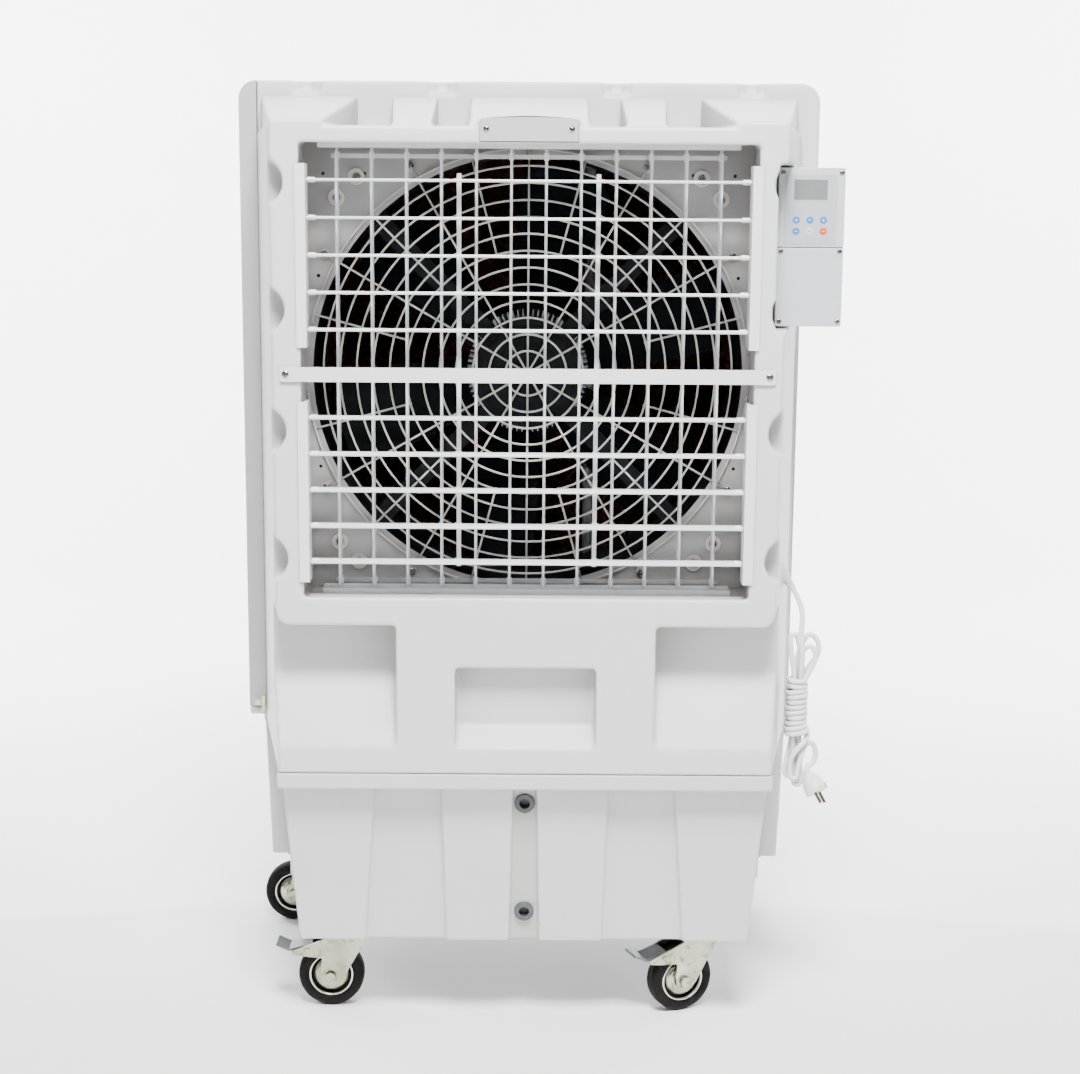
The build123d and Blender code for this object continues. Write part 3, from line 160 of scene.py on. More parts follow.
BODY_WHITE = srgb(217, 218, 222)
MATERIALS = {
    # the shell's long-reaching crevice darkening is painted shade in its recesses and under its overhangs
    "shell": finish_material("moulded_white", BODY_WHITE, 0.42, grain=0.18, tint=0.012, crevice_shade_and_dirt=0.85, reach=0.09),
    "cabinet": finish_material("cabinet_white", srgb(208, 209, 213), 0.45, grain=0.18, tint=0.012, crevice_shade_and_dirt=0.25),
    # the tank's crevice darkening is painted shade along its panel steps and channel
    "tank": finish_material("tank_white", srgb(210, 210, 211), 0.42, grain=0.16, tint=0.015, crevice_shade_and_dirt=0.8, reach=0.03),
    "pad_frame": finish_material("pad_frame_grey", srgb(176, 177, 180), 0.5, grain=0.15, tint=0.02, crevice_shade_and_dirt=0.3),
    "clip": finish_material("aged_nylon", srgb(222, 219, 196), 0.4, tint=0.05, tint_scale=60, crevice_shade_and_dirt=0.25),
    "blade": finish_material("blade_white", srgb(232, 233, 235), 0.3, tint=0.012, grain=0.05, coat=0.15, crevice_shade_and_dirt=0.12),
    # the fan panel's crevice darkening is painted shade inside the tunnel
    "panel": finish_material("fan_panel_white", srgb(184, 184, 186), 0.45, tint=0.02, grain=0.08, crevice_shade_and_dirt=0.7,
                             reach=0.07),
    "motor": finish_material("motor_black", srgb(15, 17, 22), 0.55, tint=0.12, tint_scale=30, grain=0.3,
                             grain_scale=900, specular=0.2),
    "rotor": finish_material("rotor_black", srgb(9, 10, 17), 0.6, tint=0.15, tint_scale=14, grain=0.12, specular=0.14),
    "guard": finish_material("guard_coating", srgb(210, 209, 202), 0.4, tint=0.03, tint_scale=40, coat=0.1),
    "enamel": finish_material("white_enamel", srgb(230, 231, 233), 0.3, tint=0.015, coat=0.2, crevice_shade_and_dirt=0.15),
    "steel": finish_material("screw_steel", srgb(176, 176, 178), 0.28, metal=1.0, tint=0.08, tint_scale=300,
                             crevice_shade_and_dirt=0.5, crevice_shade_and_dirt_color=(0.03, 0.03, 0.03)),
    "box": finish_material("control_box_grey", srgb(198, 200, 205), 0.33, tint=0.012, grain=0.06, crevice_shade_and_dirt=0.2),
    "film": finish_material("panel_film", srgb(182, 185, 192), 0.25, tint=0.01, coat=0.3),
    "display": finish_material("display_glass", srgb(120, 126, 124), 0.12, tint=0.06, tint_scale=30, coat=0.6),
    "bezel": finish_material("display_bezel", srgb(176, 180, 184), 0.3, tint=0.02, coat=0.3),
    "key_blue": finish_material("key_blue", srgb(60, 128, 196), 0.3, tint=0.06, tint_scale=200, coat=0.4),
    "key_white": finish_material("key_white", srgb(208, 212, 216), 0.3, tint=0.04, tint_scale=200, coat=0.4),
    "key_red": finish_material("key_red", srgb(226, 84, 44), 0.3, tint=0.06, tint_scale=200, coat=0.4),
    "key_mark": finish_material("key_mark", srgb(238, 240, 242), 0.4, tint=0.02),
    "cord": finish_material("cord_white", srgb(236, 236, 238), 0.38, tint=0.02, tint_scale=30, grain=0.08, crevice_shade_and_dirt=0.35,
                            crevice_shade_and_dirt_color=(0.28, 0.28, 0.30)),
    "plug": finish_material("plug_white", srgb(228, 227, 226), 0.4, tint=0.02, tint_scale=60, grain=0.1, crevice_shade_and_dirt=0.3),
    "washer": finish_material("ivory_washer", srgb(226, 224, 214), 0.4, tint=0.03, tint_scale=80, crevice_shade_and_dirt=0.35),
    "plate": finish_material("plate_grey", srgb(186, 186, 190), 0.34, tint=0.012, grain=0.03, coat=0.1),
    # painted shadow: the dark sheet behind the name plate stands in for the shaded gap at its top edge
    "plate_gap_shadow": finish_material("plate_gap_shadow_dark", srgb(58, 58, 62), 0.7, tint=0.1, tint_scale=60),
    # painted highlight: the motor fins are given a pale colour for the light they catch
    "fin": finish_material("cast_fin_highlight", srgb(205, 206, 210), 0.4, metal=0.3, tint=0.1, tint_scale=60, grain=0.1),
    "brass": finish_material("pin_nickel", srgb(140, 124, 108), 0.3, metal=1.0, tint=0.08, tint_scale=200),
    "zinc": finish_material("zinc_plate", srgb(178, 177, 158), 0.3, metal=0.95, tint=0.34, tint_scale=22, grain=0.12,
                            grain_scale=700, rough_spread=0.15, crevice_shade_and_dirt=0.75, crevice_shade_and_dirt_color=(0.07, 0.06, 0.045),
                            flecks={"scale": 95.0, "from": 0.58, "color": srgb(150, 146, 118)}),
    "bright": finish_material("rim_chrome", srgb(222, 221, 216), 0.22, metal=1.0, tint=0.04, tint_scale=60),
    "tyre": finish_material("tyre_rubber", srgb(14, 12, 12), 0.66, tint=0.15, tint_scale=60, grain=0.25,
                            grain_scale=900, specular=0.18,
                            flecks={"scale": 240.0, "from": 0.68, "color": srgb(52, 48, 45)}),
    "pedal": finish_material("pedal_paint", srgb(104, 106, 108), 0.36, metal=0.7, tint=0.12, tint_scale=60, grain=0.2,
                             grain_scale=900, crevice_shade_and_dirt=0.4, crevice_shade_and_dirt_color=(0.05, 0.04, 0.03)),
    "pipe": finish_material("pipe_grey", srgb(204, 206, 210), 0.4, tint=0.03, grain=0.05),
    "fitting": finish_material("fitting_grey", srgb(76, 78, 82), 0.4, tint=0.06, tint_scale=60, coat=0.05,
                               crevice_shade_and_dirt=0.4, crevice_shade_and_dirt_color=(0.02, 0.02, 0.02)),
    "pad": finish_material("wet_cellulose", srgb(128, 74, 52), 0.9, tint=0.25, tint_scale=40, stretch=(1, 1, 0.25),
                           grain=0.5, grain_scale=500,
                           flecks={"scale": 130.0, "from": 0.58, "color": srgb(158, 98, 66)}),
}


def repaint(material, color, mask):
    """Recolours the part of a material where mask(math_node, position) gives 1."""
    tree = material.node_tree
    shader = tree.nodes["Principled BSDF"]
    first_color = shader.inputs["Base Color"].links[0].from_socket
    coords = tree.nodes.new("ShaderNodeTexCoord")
    position = tree.nodes.new("ShaderNodeSeparateXYZ")
    tree.links.new(coords.outputs["Object"], position.inputs[0])

    def math_node(operation, *values):
        node = tree.nodes.new("ShaderNodeMath")
        node.operation = operation
        for socket, value in zip(node.inputs, values):
            if isinstance(value, float):
                socket.default_value = value
            else:
                tree.links.new(value, socket)
        return node.outputs[0]

    mix = tree.nodes.new("ShaderNodeMix")
    mix.data_type = "RGBA"
    mix.inputs[7].default_value = color + (1.0,)
    tree.links.new(mask(math_node, position.outputs), mix.inputs[0])
    tree.links.new(first_color, mix.inputs[6])
    tree.links.new(mix.outputs[2], shader.inputs["Base Color"])


DUCT_BLACK = srgb(16, 17, 22)
PANEL_SKIN = 0.0006             # how deep the panel's white goes before the duct's black starts
# painted shade for the recessed channel down the tank's front: a darker grey inside the mask below
CHANNEL_SHADE = srgb(186, 186, 184)
CHANNEL_TAPER = 0.0201          # growth of the channel's half width per metre down
CHANNEL_EDGE = 0.0246           # its half width at floor level
CHANNEL_TOP, CHANNEL_DEPTH = 0.3805, -0.2


def duct_mask(math_node, position):
    """The duct behind the fan panel is black, and the panel's face stays white."""
    return math_node("GREATER_THAN", position["Y"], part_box("fan_panel")[0].y + PANEL_SKIN)


def channel_shade_mask(math_node, position):
    """Painted shade: the narrow recessed channel down the front of the tank is painted greyer than the wall."""
    sideways = math_node("ABSOLUTE", position["X"])
    edge = math_node("ADD", sideways, math_node("MULTIPLY", position["Z"], CHANNEL_TAPER))
    inside = math_node("LESS_THAN", edge, CHANNEL_EDGE)
    inside = math_node("MULTIPLY", inside, math_node("LESS_THAN", position["Z"], CHANNEL_TOP))
    return math_node("MULTIPLY", inside, math_node("LESS_THAN", position["Y"], CHANNEL_DEPTH))


def dress(node, material):
    """Gives a CAD node its material."""
    obj = NODES[node]
    obj.data.materials.clear()
    obj.data.materials.append(MATERIALS[material])
    return obj


def soften(node, material, width, segments=3, angle=28):
    """Rounds a CAD node's edges with a bevel and gives it its material."""
    obj = dress(node, material)
    weld = obj.modifiers.new("weld", "WELD")
    weld.merge_threshold = 2e-6
    flat = obj.modifiers.new("flat", "DECIMATE")
    flat.decimate_type = "DISSOLVE"
    flat.angle_limit = math.radians(0.6)
    bevel = obj.modifiers.new("edges", "BEVEL")
    bevel.width = width * MM
    bevel.segments = segments
    bevel.limit_method = "ANGLE"
    bevel.angle_limit = math.radians(angle)
    bevel.harden_normals = True
    bevel.miter_outer = "MITER_ARC"
    return obj


def mould(node, material, voxel, passes, keep):
    """Gives a CAD node the soft edges of rotational moulding: remeshed, relaxed, then thinned out."""
    obj = dress(node, material)
    remesh = obj.modifiers.new("skin", "REMESH")
    remesh.mode = "VOXEL"
    remesh.voxel_size = voxel * MM
    remesh.use_smooth_shade = True
    relax = obj.modifiers.new("relax", "SMOOTH")
    relax.factor = 0.5
    relax.iterations = passes
    thin = obj.modifiers.new("thin", "DECIMATE")
    thin.ratio = keep
    return obj


# ------------------------------------------------------------------ mesh helpers
def piece(name, bm, materials, body, replaces=(), smooth=True, place=None):
    """Turns a bmesh into an object that rides a body, in place of any CAD nodes named."""
    mesh = bpy.data.meshes.new(name)
    bmesh.ops.recalc_face_normals(bm, faces=bm.faces)
    bm.to_mesh(mesh)
    bm.free()
    obj = bpy.data.objects.new(name, mesh)
    bpy.context.scene.collection.objects.link(obj)
    for material in materials:
        mesh.materials.append(MATERIALS[material])
    mesh.polygons.foreach_set("use_smooth", [smooth] * len(mesh.polygons))
    if place is not None:
        mesh.transform(place)
    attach(obj, body)
    if replaces:
        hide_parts(*replaces)
    return obj


def crease_by_angle(obj, degrees=35):
    """Keeps edges sharper than an angle crisp on a smooth-shaded piece."""
    bm = bmesh.new()
    bm.from_mesh(obj.data)
    for edge in bm.edges:
        if edge.is_manifold and edge.calc_face_angle(0) > math.radians(degrees):
            edge.smooth = False
    bm.to_mesh(obj.data)
    bm.free()


def loops_to_skin(bm, loops, closed_path=False, caps=True, material=0):
    """Skins equal-length vertex rings into one closed surface."""
    rings = [[bm.verts.new(p) for p in loop] for loop in loops]
    pairs = list(zip(rings, rings[1:]))
    if closed_path:
        pairs.append((rings[-1], rings[0]))
    count = len(rings[0])
    for first, second in pairs:
        for k in range(count):
            face = bm.faces.new((first[k], first[(k + 1) % count], second[(k + 1) % count], second[k]))
            face.material_index = material
    if caps and not closed_path:
        for ring in (rings[0], rings[-1]):
            bm.faces.new(ring).material_index = material
    return rings


def wire_loop(centre, radius, wire, degrees, sides=8):
    """Section of a round wire bent around the Y axis, at one angle."""
    turn = math.radians(degrees)
    out = Vector((math.cos(turn), 0, math.sin(turn)))
    return [centre + out * (radius + wire * math.cos(a)) + Vector((0, wire * math.sin(a), 0))
            for a in (2 * math.pi * s / sides for s in range(sides))]


def ring_tube(bm, centre, radius, wire, segments=96):
    """Round-wire ring around the Y axis."""
    loops_to_skin(bm, [wire_loop(centre, radius, wire, 360 * k / segments) for k in range(segments)],
                  closed_path=True)


def arc_tube(bm, centre, radius, wire, start, end, steps=32):
    """Round-wire arc around the Y axis between two angles in degrees."""
    loops_to_skin(bm, [wire_loop(centre, radius, wire, start + (end - start) * k / steps) for k in range(steps + 1)])


def bar_tube(bm, start, end, radius, sides=8):
    """Straight round bar from one point to another."""
    axis = (end - start).normalized()
    side = axis.orthogonal().normalized()
    other = axis.cross(side)
    loops = []
    for point in (start, end):
        loops.append([point + (side * math.cos(a) + other * math.sin(a)) * radius
                      for a in (2 * math.pi * s / sides for s in range(sides))])
    loops_to_skin(bm, loops)


def lathe(bm, profile, segments=48, material_steps=None):
    """Turns (radius, height) points about local Z, closed on the axis where the radius is 0."""
    rings = []
    for radius, height in profile:
        if radius < 1e-9:
            rings.append([bm.verts.new((0, 0, height))])
        else:
            rings.append([bm.verts.new((radius * math.cos(a), radius * math.sin(a), height))
                          for a in (2 * math.pi * k / segments for k in range(segments))])
    for index, (first, second) in enumerate(zip(rings, rings[1:])):
        for k in range(segments):
            n = (k + 1) % segments
            if len(first) == 1 and len(second) == 1:
                continue
            if len(first) == 1:
                corners = (first[0], second[n], second[k])
            elif len(second) == 1:
                corners = (first[k], first[n], second[0])
            else:
                corners = (first[k], first[n], second[n], second[k])
            face = bm.faces.new(corners)
            if material_steps:
                face.material_index = material_steps[index]
    return [vert for ring in rings for vert in ring]


def aligned(origin, axis):
    """Matrix that takes local Z to an axis through a point."""
    turn = Vector((0, 0, 1)).rotation_difference(Vector(axis).normalized()).to_matrix().to_4x4()
    return Matrix.Translation(Vector(origin)) @ turn


def box_in(bm, low, high, material=0):
    """Box between two corners."""
    made = bmesh.ops.create_cube(bm, size=1.0)
    centre = (Vector(low) + Vector(high)) / 2
    size = Vector(high) - Vector(low)
    for vert in made["verts"]:
        vert.co = Vector((vert.co.x * size.x, vert.co.y * size.y, vert.co.z * size.z)) + centre
    for face in {f for v in made["verts"] for f in v.link_faces}:
        face.material_index = material
    return made["verts"]


# ------------------------------------------------------------------ camera, light, floor
def studio():
    """Camera, soft sky, area lights, and a white floor that curves up behind the object."""
    camera_data = bpy.data.cameras.new("camera")
    camera = bpy.data.objects.new("camera", camera_data)
    bpy.context.scene.collection.objects.link(camera)
    camera_data.sensor_fit = "HORIZONTAL"
    camera_data.sensor_width = 36.0
    camera_data.lens = 63.33
    camera_data.shift_x = 0.0125
    pitch, roll = math.radians(90 - 10.06), math.radians(0.4)
    camera.matrix_world = (Matrix.Translation((0, -2.935, 1.215)) @ Matrix.Rotation(pitch, 4, "X")
                           @ Matrix.Rotation(roll, 4, "Z"))
    bpy.context.scene.camera = camera

    world = bpy.data.worlds.new("studio")
    bpy.context.scene.world = world
    world.use_nodes = True
    background = world.node_tree.nodes["Background"]
    background.inputs["Strength"].default_value = 0.15
    tree = world.node_tree
    coords = tree.nodes.new("ShaderNodeTexCoord")
    split = tree.nodes.new("ShaderNodeSeparateXYZ")
    sky = tree.nodes.new("ShaderNodeValToRGB")
    sky.color_ramp.elements[0].position = 0.0
    sky.color_ramp.elements[0].color = (0.30, 0.305, 0.32, 1)
    sky.color_ramp.elements[1].position = 0.9
    sky.color_ramp.elements[1].color = (1.0, 1.02, 1.06, 1)
    tree.links.new(coords.outputs["Generated"], split.inputs[0])
    tree.links.new(split.outputs["Z"], sky.inputs["Fac"])
    tree.links.new(sky.outputs["Color"], background.inputs["Color"])

    for name, place, aim, size, power, color in (
            ("key", (0.12, -2.3, 3.9), (0, -0.15, 0.8), 1.1, 470, (1.0, 0.99, 0.98)),
            ("side", (3.2, -2.2, 2.2), (0, 0, 0.8), 1.6, 14, (0.95, 0.97, 1.0)),
            ("front", (-0.5, -4.0, 3.4), (0, 0, 0.7), 2.2, 24, (1.0, 1.0, 1.0)),
            ("back", (0.4, 3.2, 3.4), (0, 0, 0.7), 2.4, 24, (1.0, 1.0, 1.0)),
            ("backdrop_left", (-3.0, 1.6, 2.6), (-1.2, 4.6, 1.4), 1.8, 640, (1.0, 1.0, 1.0)),
            ("backdrop_right", (3.0, 1.6, 2.6), (1.2, 4.6, 1.4), 1.8, 640, (1.0, 1.0, 1.0))):
        data = bpy.data.lights.new(name, "AREA")
        data.size = size
        data.energy = power
        data.color = color
        lamp = bpy.data.objects.new(name, data)
        bpy.context.scene.collection.objects.link(lamp)
        direction = Vector(aim) - Vector(place)
        lamp.matrix_world = Matrix.Translation(place) @ direction.to_track_quat("-Z", "Y").to_matrix().to_4x4()

    # the floor's section, from the front to the top of the backdrop
    bm = bmesh.new()
    section = [(-9.0, 0.0), (3.2, 0.0)]
    section += [(3.2 + 1.6 * math.sin(a), 1.6 - 1.6 * math.cos(a))
                for a in (math.radians(9 * k) for k in range(1, 11))]
    section.append((4.8, 6.0))
    rows = [[bm.verts.new((x, y, z)) for y, z in section] for x in (-9.0, 9.0)]
    for k in range(len(section) - 1):
        bm.faces.new((rows[0][k], rows[1][k], rows[1][k + 1], rows[0][k + 1]))
    mesh = bpy.data.meshes.new("floor")
    bm.to_mesh(mesh)
    bm.free()
    mesh.polygons.foreach_set("use_smooth", [True] * len(mesh.polygons))
    floor = bpy.data.objects.new("floor", mesh)
    bpy.context.scene.collection.objects.link(floor)
    mesh.materials.append(finish_material("floor_paper", (0.94, 0.94, 0.94), 0.8, tint=0.01, tint_scale=0.6))


# ------------------------------------------------------------------ mains lead
CORD_R = 4.0 * MM
GLAND_START = Vector((0.372, -0.200, 0.684))
GLAND_DIR = Vector((0.58, 0.0, -0.81)).normalized()
GLAND_LENGTH = 0.034
CORD_ROUTE = [(0.4033, -0.200, 0.636), (0.408, -0.2015, 0.612), (0.405, -0.203, 0.590)]
WAIST_X, WAIST_Y = 0.402, -0.200
WAIST_TOP, WAIST_LOW = 0.5195, 0.4345
STRAND_X, STRAND_Y = 0.00405, 0.0081
PIN_TURN = 20.0
WRAPS_FROM, WRAPS_TO = 60.0, 3960.0
PLUG_START = Vector((0.419, -0.209, 0.381))
PLUG_DIR = Vector((0.42, -0.45, -0.79)).normalized()


def strand(side, row, down):
    """One straight run through the waist: side -1 or 1, row -1 (front), 0 or 1 (back)."""
    heights = (0.521, 0.470, 0.432)
    return [(WAIST_X + side * STRAND_X, WAIST_Y + row * STRAND_Y, z) for z in (heights if down else heights[::-1])]


def hank_points():
    """Strands up and down through the waist, then the wraps around it, then the tail to the plug."""
    p = [(0.4085, -0.2090, 0.562)] + strand(1, -1, True)
    # first lower loop, in front
    p += [(0.4085, -0.2095, 0.396), (0.4104, -0.2100, 0.3750), (0.4102, -0.2100, 0.3671), (0.4102, -0.2100, 0.3629),
          (0.4073, -0.2100, 0.3600), (0.4031, -0.2099, 0.3600), (0.4002, -0.2098, 0.3629), (0.4002, -0.2098, 0.3671),
          (0.4000, -0.2098, 0.3750)]
    p += strand(-1, -1, False)
    # narrow upper loop on the left
    p += [(0.3935, -0.2095, 0.548), (0.3892, -0.2100, 0.5740), (0.3895, -0.2099, 0.5819), (0.3896, -0.2098, 0.5861),
          (0.3924, -0.2093, 0.5890), (0.3966, -0.2083, 0.5890), (0.3996, -0.2070, 0.5861), (0.4004, -0.2064, 0.5822),
          (0.4022, -0.2050, 0.5760), (0.4050, -0.2030, 0.566), (0.4065, -0.2010, 0.545)]
    p += strand(1, 0, True)
    # second lower loop, furthest to the left
    p += [(0.4035, -0.2005, 0.400), (0.3990, -0.2010, 0.3850), (0.3985, -0.2010, 0.3776), (0.3985, -0.2010, 0.3734),
          (0.3956, -0.2010, 0.3705), (0.3914, -0.2010, 0.3705), (0.3885, -0.2010, 0.3734), (0.3885, -0.2010, 0.3776),
          (0.3882, -0.2010, 0.3850)]
    p += strand(-1, 0, False)
    # wide upper loop, out to the right
    p += [(0.4010, -0.1985, 0.548), (0.4090, -0.1960, 0.576), (0.4185, -0.1950, 0.5885), (0.4300, -0.1950, 0.5805),
          (0.4350, -0.1955, 0.5650), (0.4290, -0.1955, 0.5470), (0.4150, -0.1940, 0.5310)]
    p += strand(1, 1, True)
    # third lower loop, behind
    p += [(0.4090, -0.1925, 0.398), (0.4116, -0.1930, 0.3790), (0.4112, -0.1930, 0.3711), (0.4112, -0.1930, 0.3669),
          (0.4083, -0.1931, 0.3640), (0.4041, -0.1931, 0.3640), (0.4012, -0.1930, 0.3669), (0.4012, -0.1930, 0.3711),
          (0.4004, -0.1930, 0.3790)]
    p += strand(-1, 1, False)
    # second upper loop, inside the wide one
    p += [(0.4005, -0.1945, 0.540), (0.4070, -0.2025, 0.560), (0.4150, -0.2085, 0.5720), (0.4245, -0.2090, 0.5690),
          (0.4285, -0.2090, 0.5560), (0.4240, -0.2100, 0.5430), (0.4175, -0.2125, 0.5330)]
    # wraps round the waist, from the top down
    total = int((WRAPS_TO - WRAPS_FROM) / 25)
    for k in range(total + 1):
        share = k / total
        turn = math.radians(WRAPS_FROM + (WRAPS_TO - WRAPS_FROM) * share)
        uneven = 0.0006 * math.sin(2.3 * turn + 0.4) + 0.0005 * math.sin(0.71 * turn)
        slack = 0.0036 * max(0.0, share - 0.80) / 0.20
        cos_t, sin_t = math.cos(turn), math.sin(turn)
        x = WAIST_X + 0.6 * slack + math.copysign(abs(cos_t) ** 0.72, cos_t) * (0.0129 + slack) + uneven
        y = WAIST_Y - math.copysign(abs(sin_t) ** 0.72, sin_t) * (0.0170 + 0.5 * slack)
        tilt = cos_t * (-0.0016 if share < 0.12 else 0.0008 + 0.0022 * max(0.0, share - 0.5))
        p.append((x, y, WAIST_TOP + (WAIST_LOW - WAIST_TOP) * share + tilt + 0.6 * uneven))
    # the end crosses the front, hangs in one more loop and leaves by an open loop on the right
    p += [(0.4155, -0.2170, 0.4290), (0.4055, -0.2225, 0.4215), (0.3965, -0.2205, 0.4100), (0.3928, -0.2175, 0.3950),
          (0.3936, -0.2165, 0.3850), (0.3940, -0.2165, 0.3786), (0.3940, -0.2165, 0.3744), (0.3969, -0.2167, 0.3715),
          (0.4011, -0.2170, 0.3715), (0.4040, -0.2173, 0.3744), (0.4042, -0.2173, 0.3786), (0.4050, -0.2174, 0.3850),
          (0.4075, -0.2170, 0.3960), (0.4115, -0.2145, 0.4130), (0.4190, -0.2080, 0.4240), (0.4275, -0.2020, 0.4230),
          (0.4332, -0.1990, 0.4120), (0.4340, -0.1980, 0.3985), (0.4290, -0.2000, 0.3890), (0.4215, -0.2040, 0.3870),
          tuple(PLUG_START + PLUG_DIR * 0.001)]
    return p


def power_cord():
    """The lead as one open curve, from the strain relief through the hank to the plug."""
    exit_point = GLAND_START + GLAND_DIR * GLAND_LENGTH
    points = [tuple(exit_point)] + CORD_ROUTE + hank_points()
    curve = bpy.data.curves.new("mains_lead", "CURVE")
    curve.dimensions = "3D"
    curve.bevel_depth = CORD_R
    curve.bevel_resolution = 3
    curve.resolution_u = 4
    curve.use_fill_caps = True
    spline = curve.splines.new("NURBS")
    spline.points.add(len(points) - 1)
    for target, point in zip(spline.points, points):
        target.co = tuple(point) + (1.0,)
    spline.order_u = 3
    spline.use_endpoint_u = True
    curve.materials.append(MATERIALS["cord"])
    obj = bpy.data.objects.new("mains_lead", curve)
    bpy.context.scene.collection.objects.link(obj)
    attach(obj, HOUSING)
    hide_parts("power_cord", "cord_hank")
    return obj, exit_point


def strain_relief():
    """Ribbed tapered sleeve that carries the lead out of the wall."""
    profile = [(0, -0.004), (0.0102, -0.004), (0.0102, 0.006), (0.0094, 0.0075)]
    ribs = 6
    for k in range(ribs):
        share = k / ribs
        start = 0.0085 + share * (GLAND_LENGTH - 0.0105)
        radius = 0.0078 - share * 0.0026
        profile += [(radius, start), (radius, start + 0.0022), (radius - 0.0013, start + 0.0026),
                    (radius - 0.0013, start + 0.0038)]
    profile += [(0.0052, GLAND_LENGTH - 0.0012), (0.0047, GLAND_LENGTH - 0.0002), (0, GLAND_LENGTH - 0.0002)]
    bm = bmesh.new()
    lathe(bm, profile, 32)
    obj = piece("strain_relief", bm, ["plug"], HOUSING, ["cable_gland"],
                place=aligned(GLAND_START, GLAND_DIR))
    crease_by_angle(obj, 40)
    return obj


def plug():
    """Moulded round plug: necked grip with flutes, round face, two round pins and an earth clip on the edge."""
    bm = bmesh.new()
    profile = [(0.0052, 0.0, 0.0), (0.0060, 0.0, 0.003), (0.0078, 0.0, 0.0065), (0.0104, 0.10, 0.0105),
               (0.0132, 0.22, 0.0150), (0.0154, 0.22, 0.0200), (0.0165, 0.10, 0.0250), (0.0168, 0.0, 0.0290),
               (0.0168, 0.0, 0.0345), (0.0160, 0.0, 0.0360)]
    loops = []
    sides = 48
    for radius, flute, height in profile:
        loop = []
        for k in range(sides):
            turn = 2 * math.pi * k / sides
            r = radius * (1 - 0.35 * flute * (0.5 + 0.5 * math.cos(6 * turn)))
            loop.append(Vector((r * math.cos(turn), r * math.sin(turn), height)))
        loops.append(loop)
    loops_to_skin(bm, loops)
    for side in (-1, 1):
        made = lathe(bm, [(0, 0.0355), (0.0024, 0.0355), (0.0024, 0.0520), (0.0020, 0.0532), (0, 0.0536)], 20,
                     [1, 1, 1, 1])
        bmesh.ops.transform(bm, matrix=Matrix.Rotation(math.radians(PIN_TURN), 4, "Z")
                            @ Matrix.Translation((side * 0.0090, 0, 0)), verts=made)
    made = box_in(bm, (-0.0022, 0.0158, 0.0285), (0.0022, 0.0172, 0.0362), 1)
    bmesh.ops.transform(bm, matrix=Matrix.Rotation(math.radians(PIN_TURN), 4, "Z"), verts=made)
    obj = piece("mains_plug", bm, ["plug", "brass"], HOUSING, ["power_plug"],
                place=aligned(PLUG_START, PLUG_DIR))
    crease_by_angle(obj, 40)
    return obj


# ------------------------------------------------------------------ fan
FAN_CENTRE = Vector(JOINTS["fan_spin"]["pos_m"])
GUARD_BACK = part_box("fan_guard")[1].y
WIRE_R = 1.5 * MM
RING_FIRST, RING_STEP, RING_COUNT = 0.032, 0.0237, 13
GUARD_R = 0.335
RING_LAST = RING_FIRST + RING_STEP * (RING_COUNT - 1)
EYELET_R = 0.0058
OUTER_ARCS = ((5.5, 174.5), (185.5, 258.5), (281.5, 354.5))   # the tunnel walls cut the outer ring
LOW_SPOKE_REACH = 0.3110                                      # and shorten the spoke that points down


def fan_guard():
    """Rings on radial spokes, with an eyelet for a bolt at the end of eight of the spokes."""
    bm = bmesh.new()
    centre = Vector((0, 0, FAN_CENTRE.z))
    ring_y = Vector((0, GUARD_BACK - 3 * WIRE_R, 0))
    spoke_y = Vector((0, GUARD_BACK - WIRE_R, 0))
    for k in range(RING_COUNT - 1):
        ring_tube(bm, centre + ring_y, RING_FIRST + k * RING_STEP, WIRE_R)
    for start, end in OUTER_ARCS:
        arc_tube(bm, centre + ring_y, RING_LAST, WIRE_R, start, end)
    ring_tube(bm, centre + spoke_y, 0.0065, WIRE_R, 24)
    for angle in range(0, 360, 15):
        out = Vector((math.cos(math.radians(angle)), 0, math.sin(math.radians(angle))))
        inner = 0.004 if angle % 30 == 0 else RING_FIRST + 6 * RING_STEP - 0.002
        eyelet = angle % 30 == 0 and angle % 90 != 0
        outer = GUARD_R - EYELET_R if eyelet else RING_LAST
        if angle == 270:
            outer = LOW_SPOKE_REACH
        bar_tube(bm, centre + spoke_y + out * inner, centre + spoke_y + out * outer, WIRE_R)
        if eyelet:
            ring_tube(bm, centre + spoke_y + out * GUARD_R, EYELET_R, WIRE_R, 24)
    return piece("fan_guard_wires", bm, ["guard"], HOUSING, ["fan_guard"])


def blade_loop(radius, chord, pitch, camber, thick, points=9):
    """Closed outline of one twisted, cambered blade section: X tangential, Y axial, Z radial."""
    upper, lower = [], []
    for k in range(points):
        share = k / (points - 1)
        along = (share - 0.5) * chord
        rise = camber * chord * (1 - (2 * share - 1) ** 2)
        half = thick / 2 * (0.25 + 0.75 * math.sin(math.pi * min(max(share, 0.03), 0.97)) ** 0.5)
        upper.append((along, rise + half))
        lower.append((along, rise - half))
    cos_p, sin_p = math.cos(pitch), math.sin(pitch)
    loop = []
    for along, across in upper + lower[::-1]:
        # wrap the section around the fan axis so that it keeps its radius
        tangential = along * cos_p - across * sin_p
        wrap = tangential / radius
        loop.append(Vector((radius * math.sin(wrap), along * sin_p + across * cos_p, radius * math.cos(wrap))))
    return loop


BLADE_COUNT = 6
BLADE_ROOT, BLADE_TIP = 0.058, 0.297
BLADE_STEPS = 12


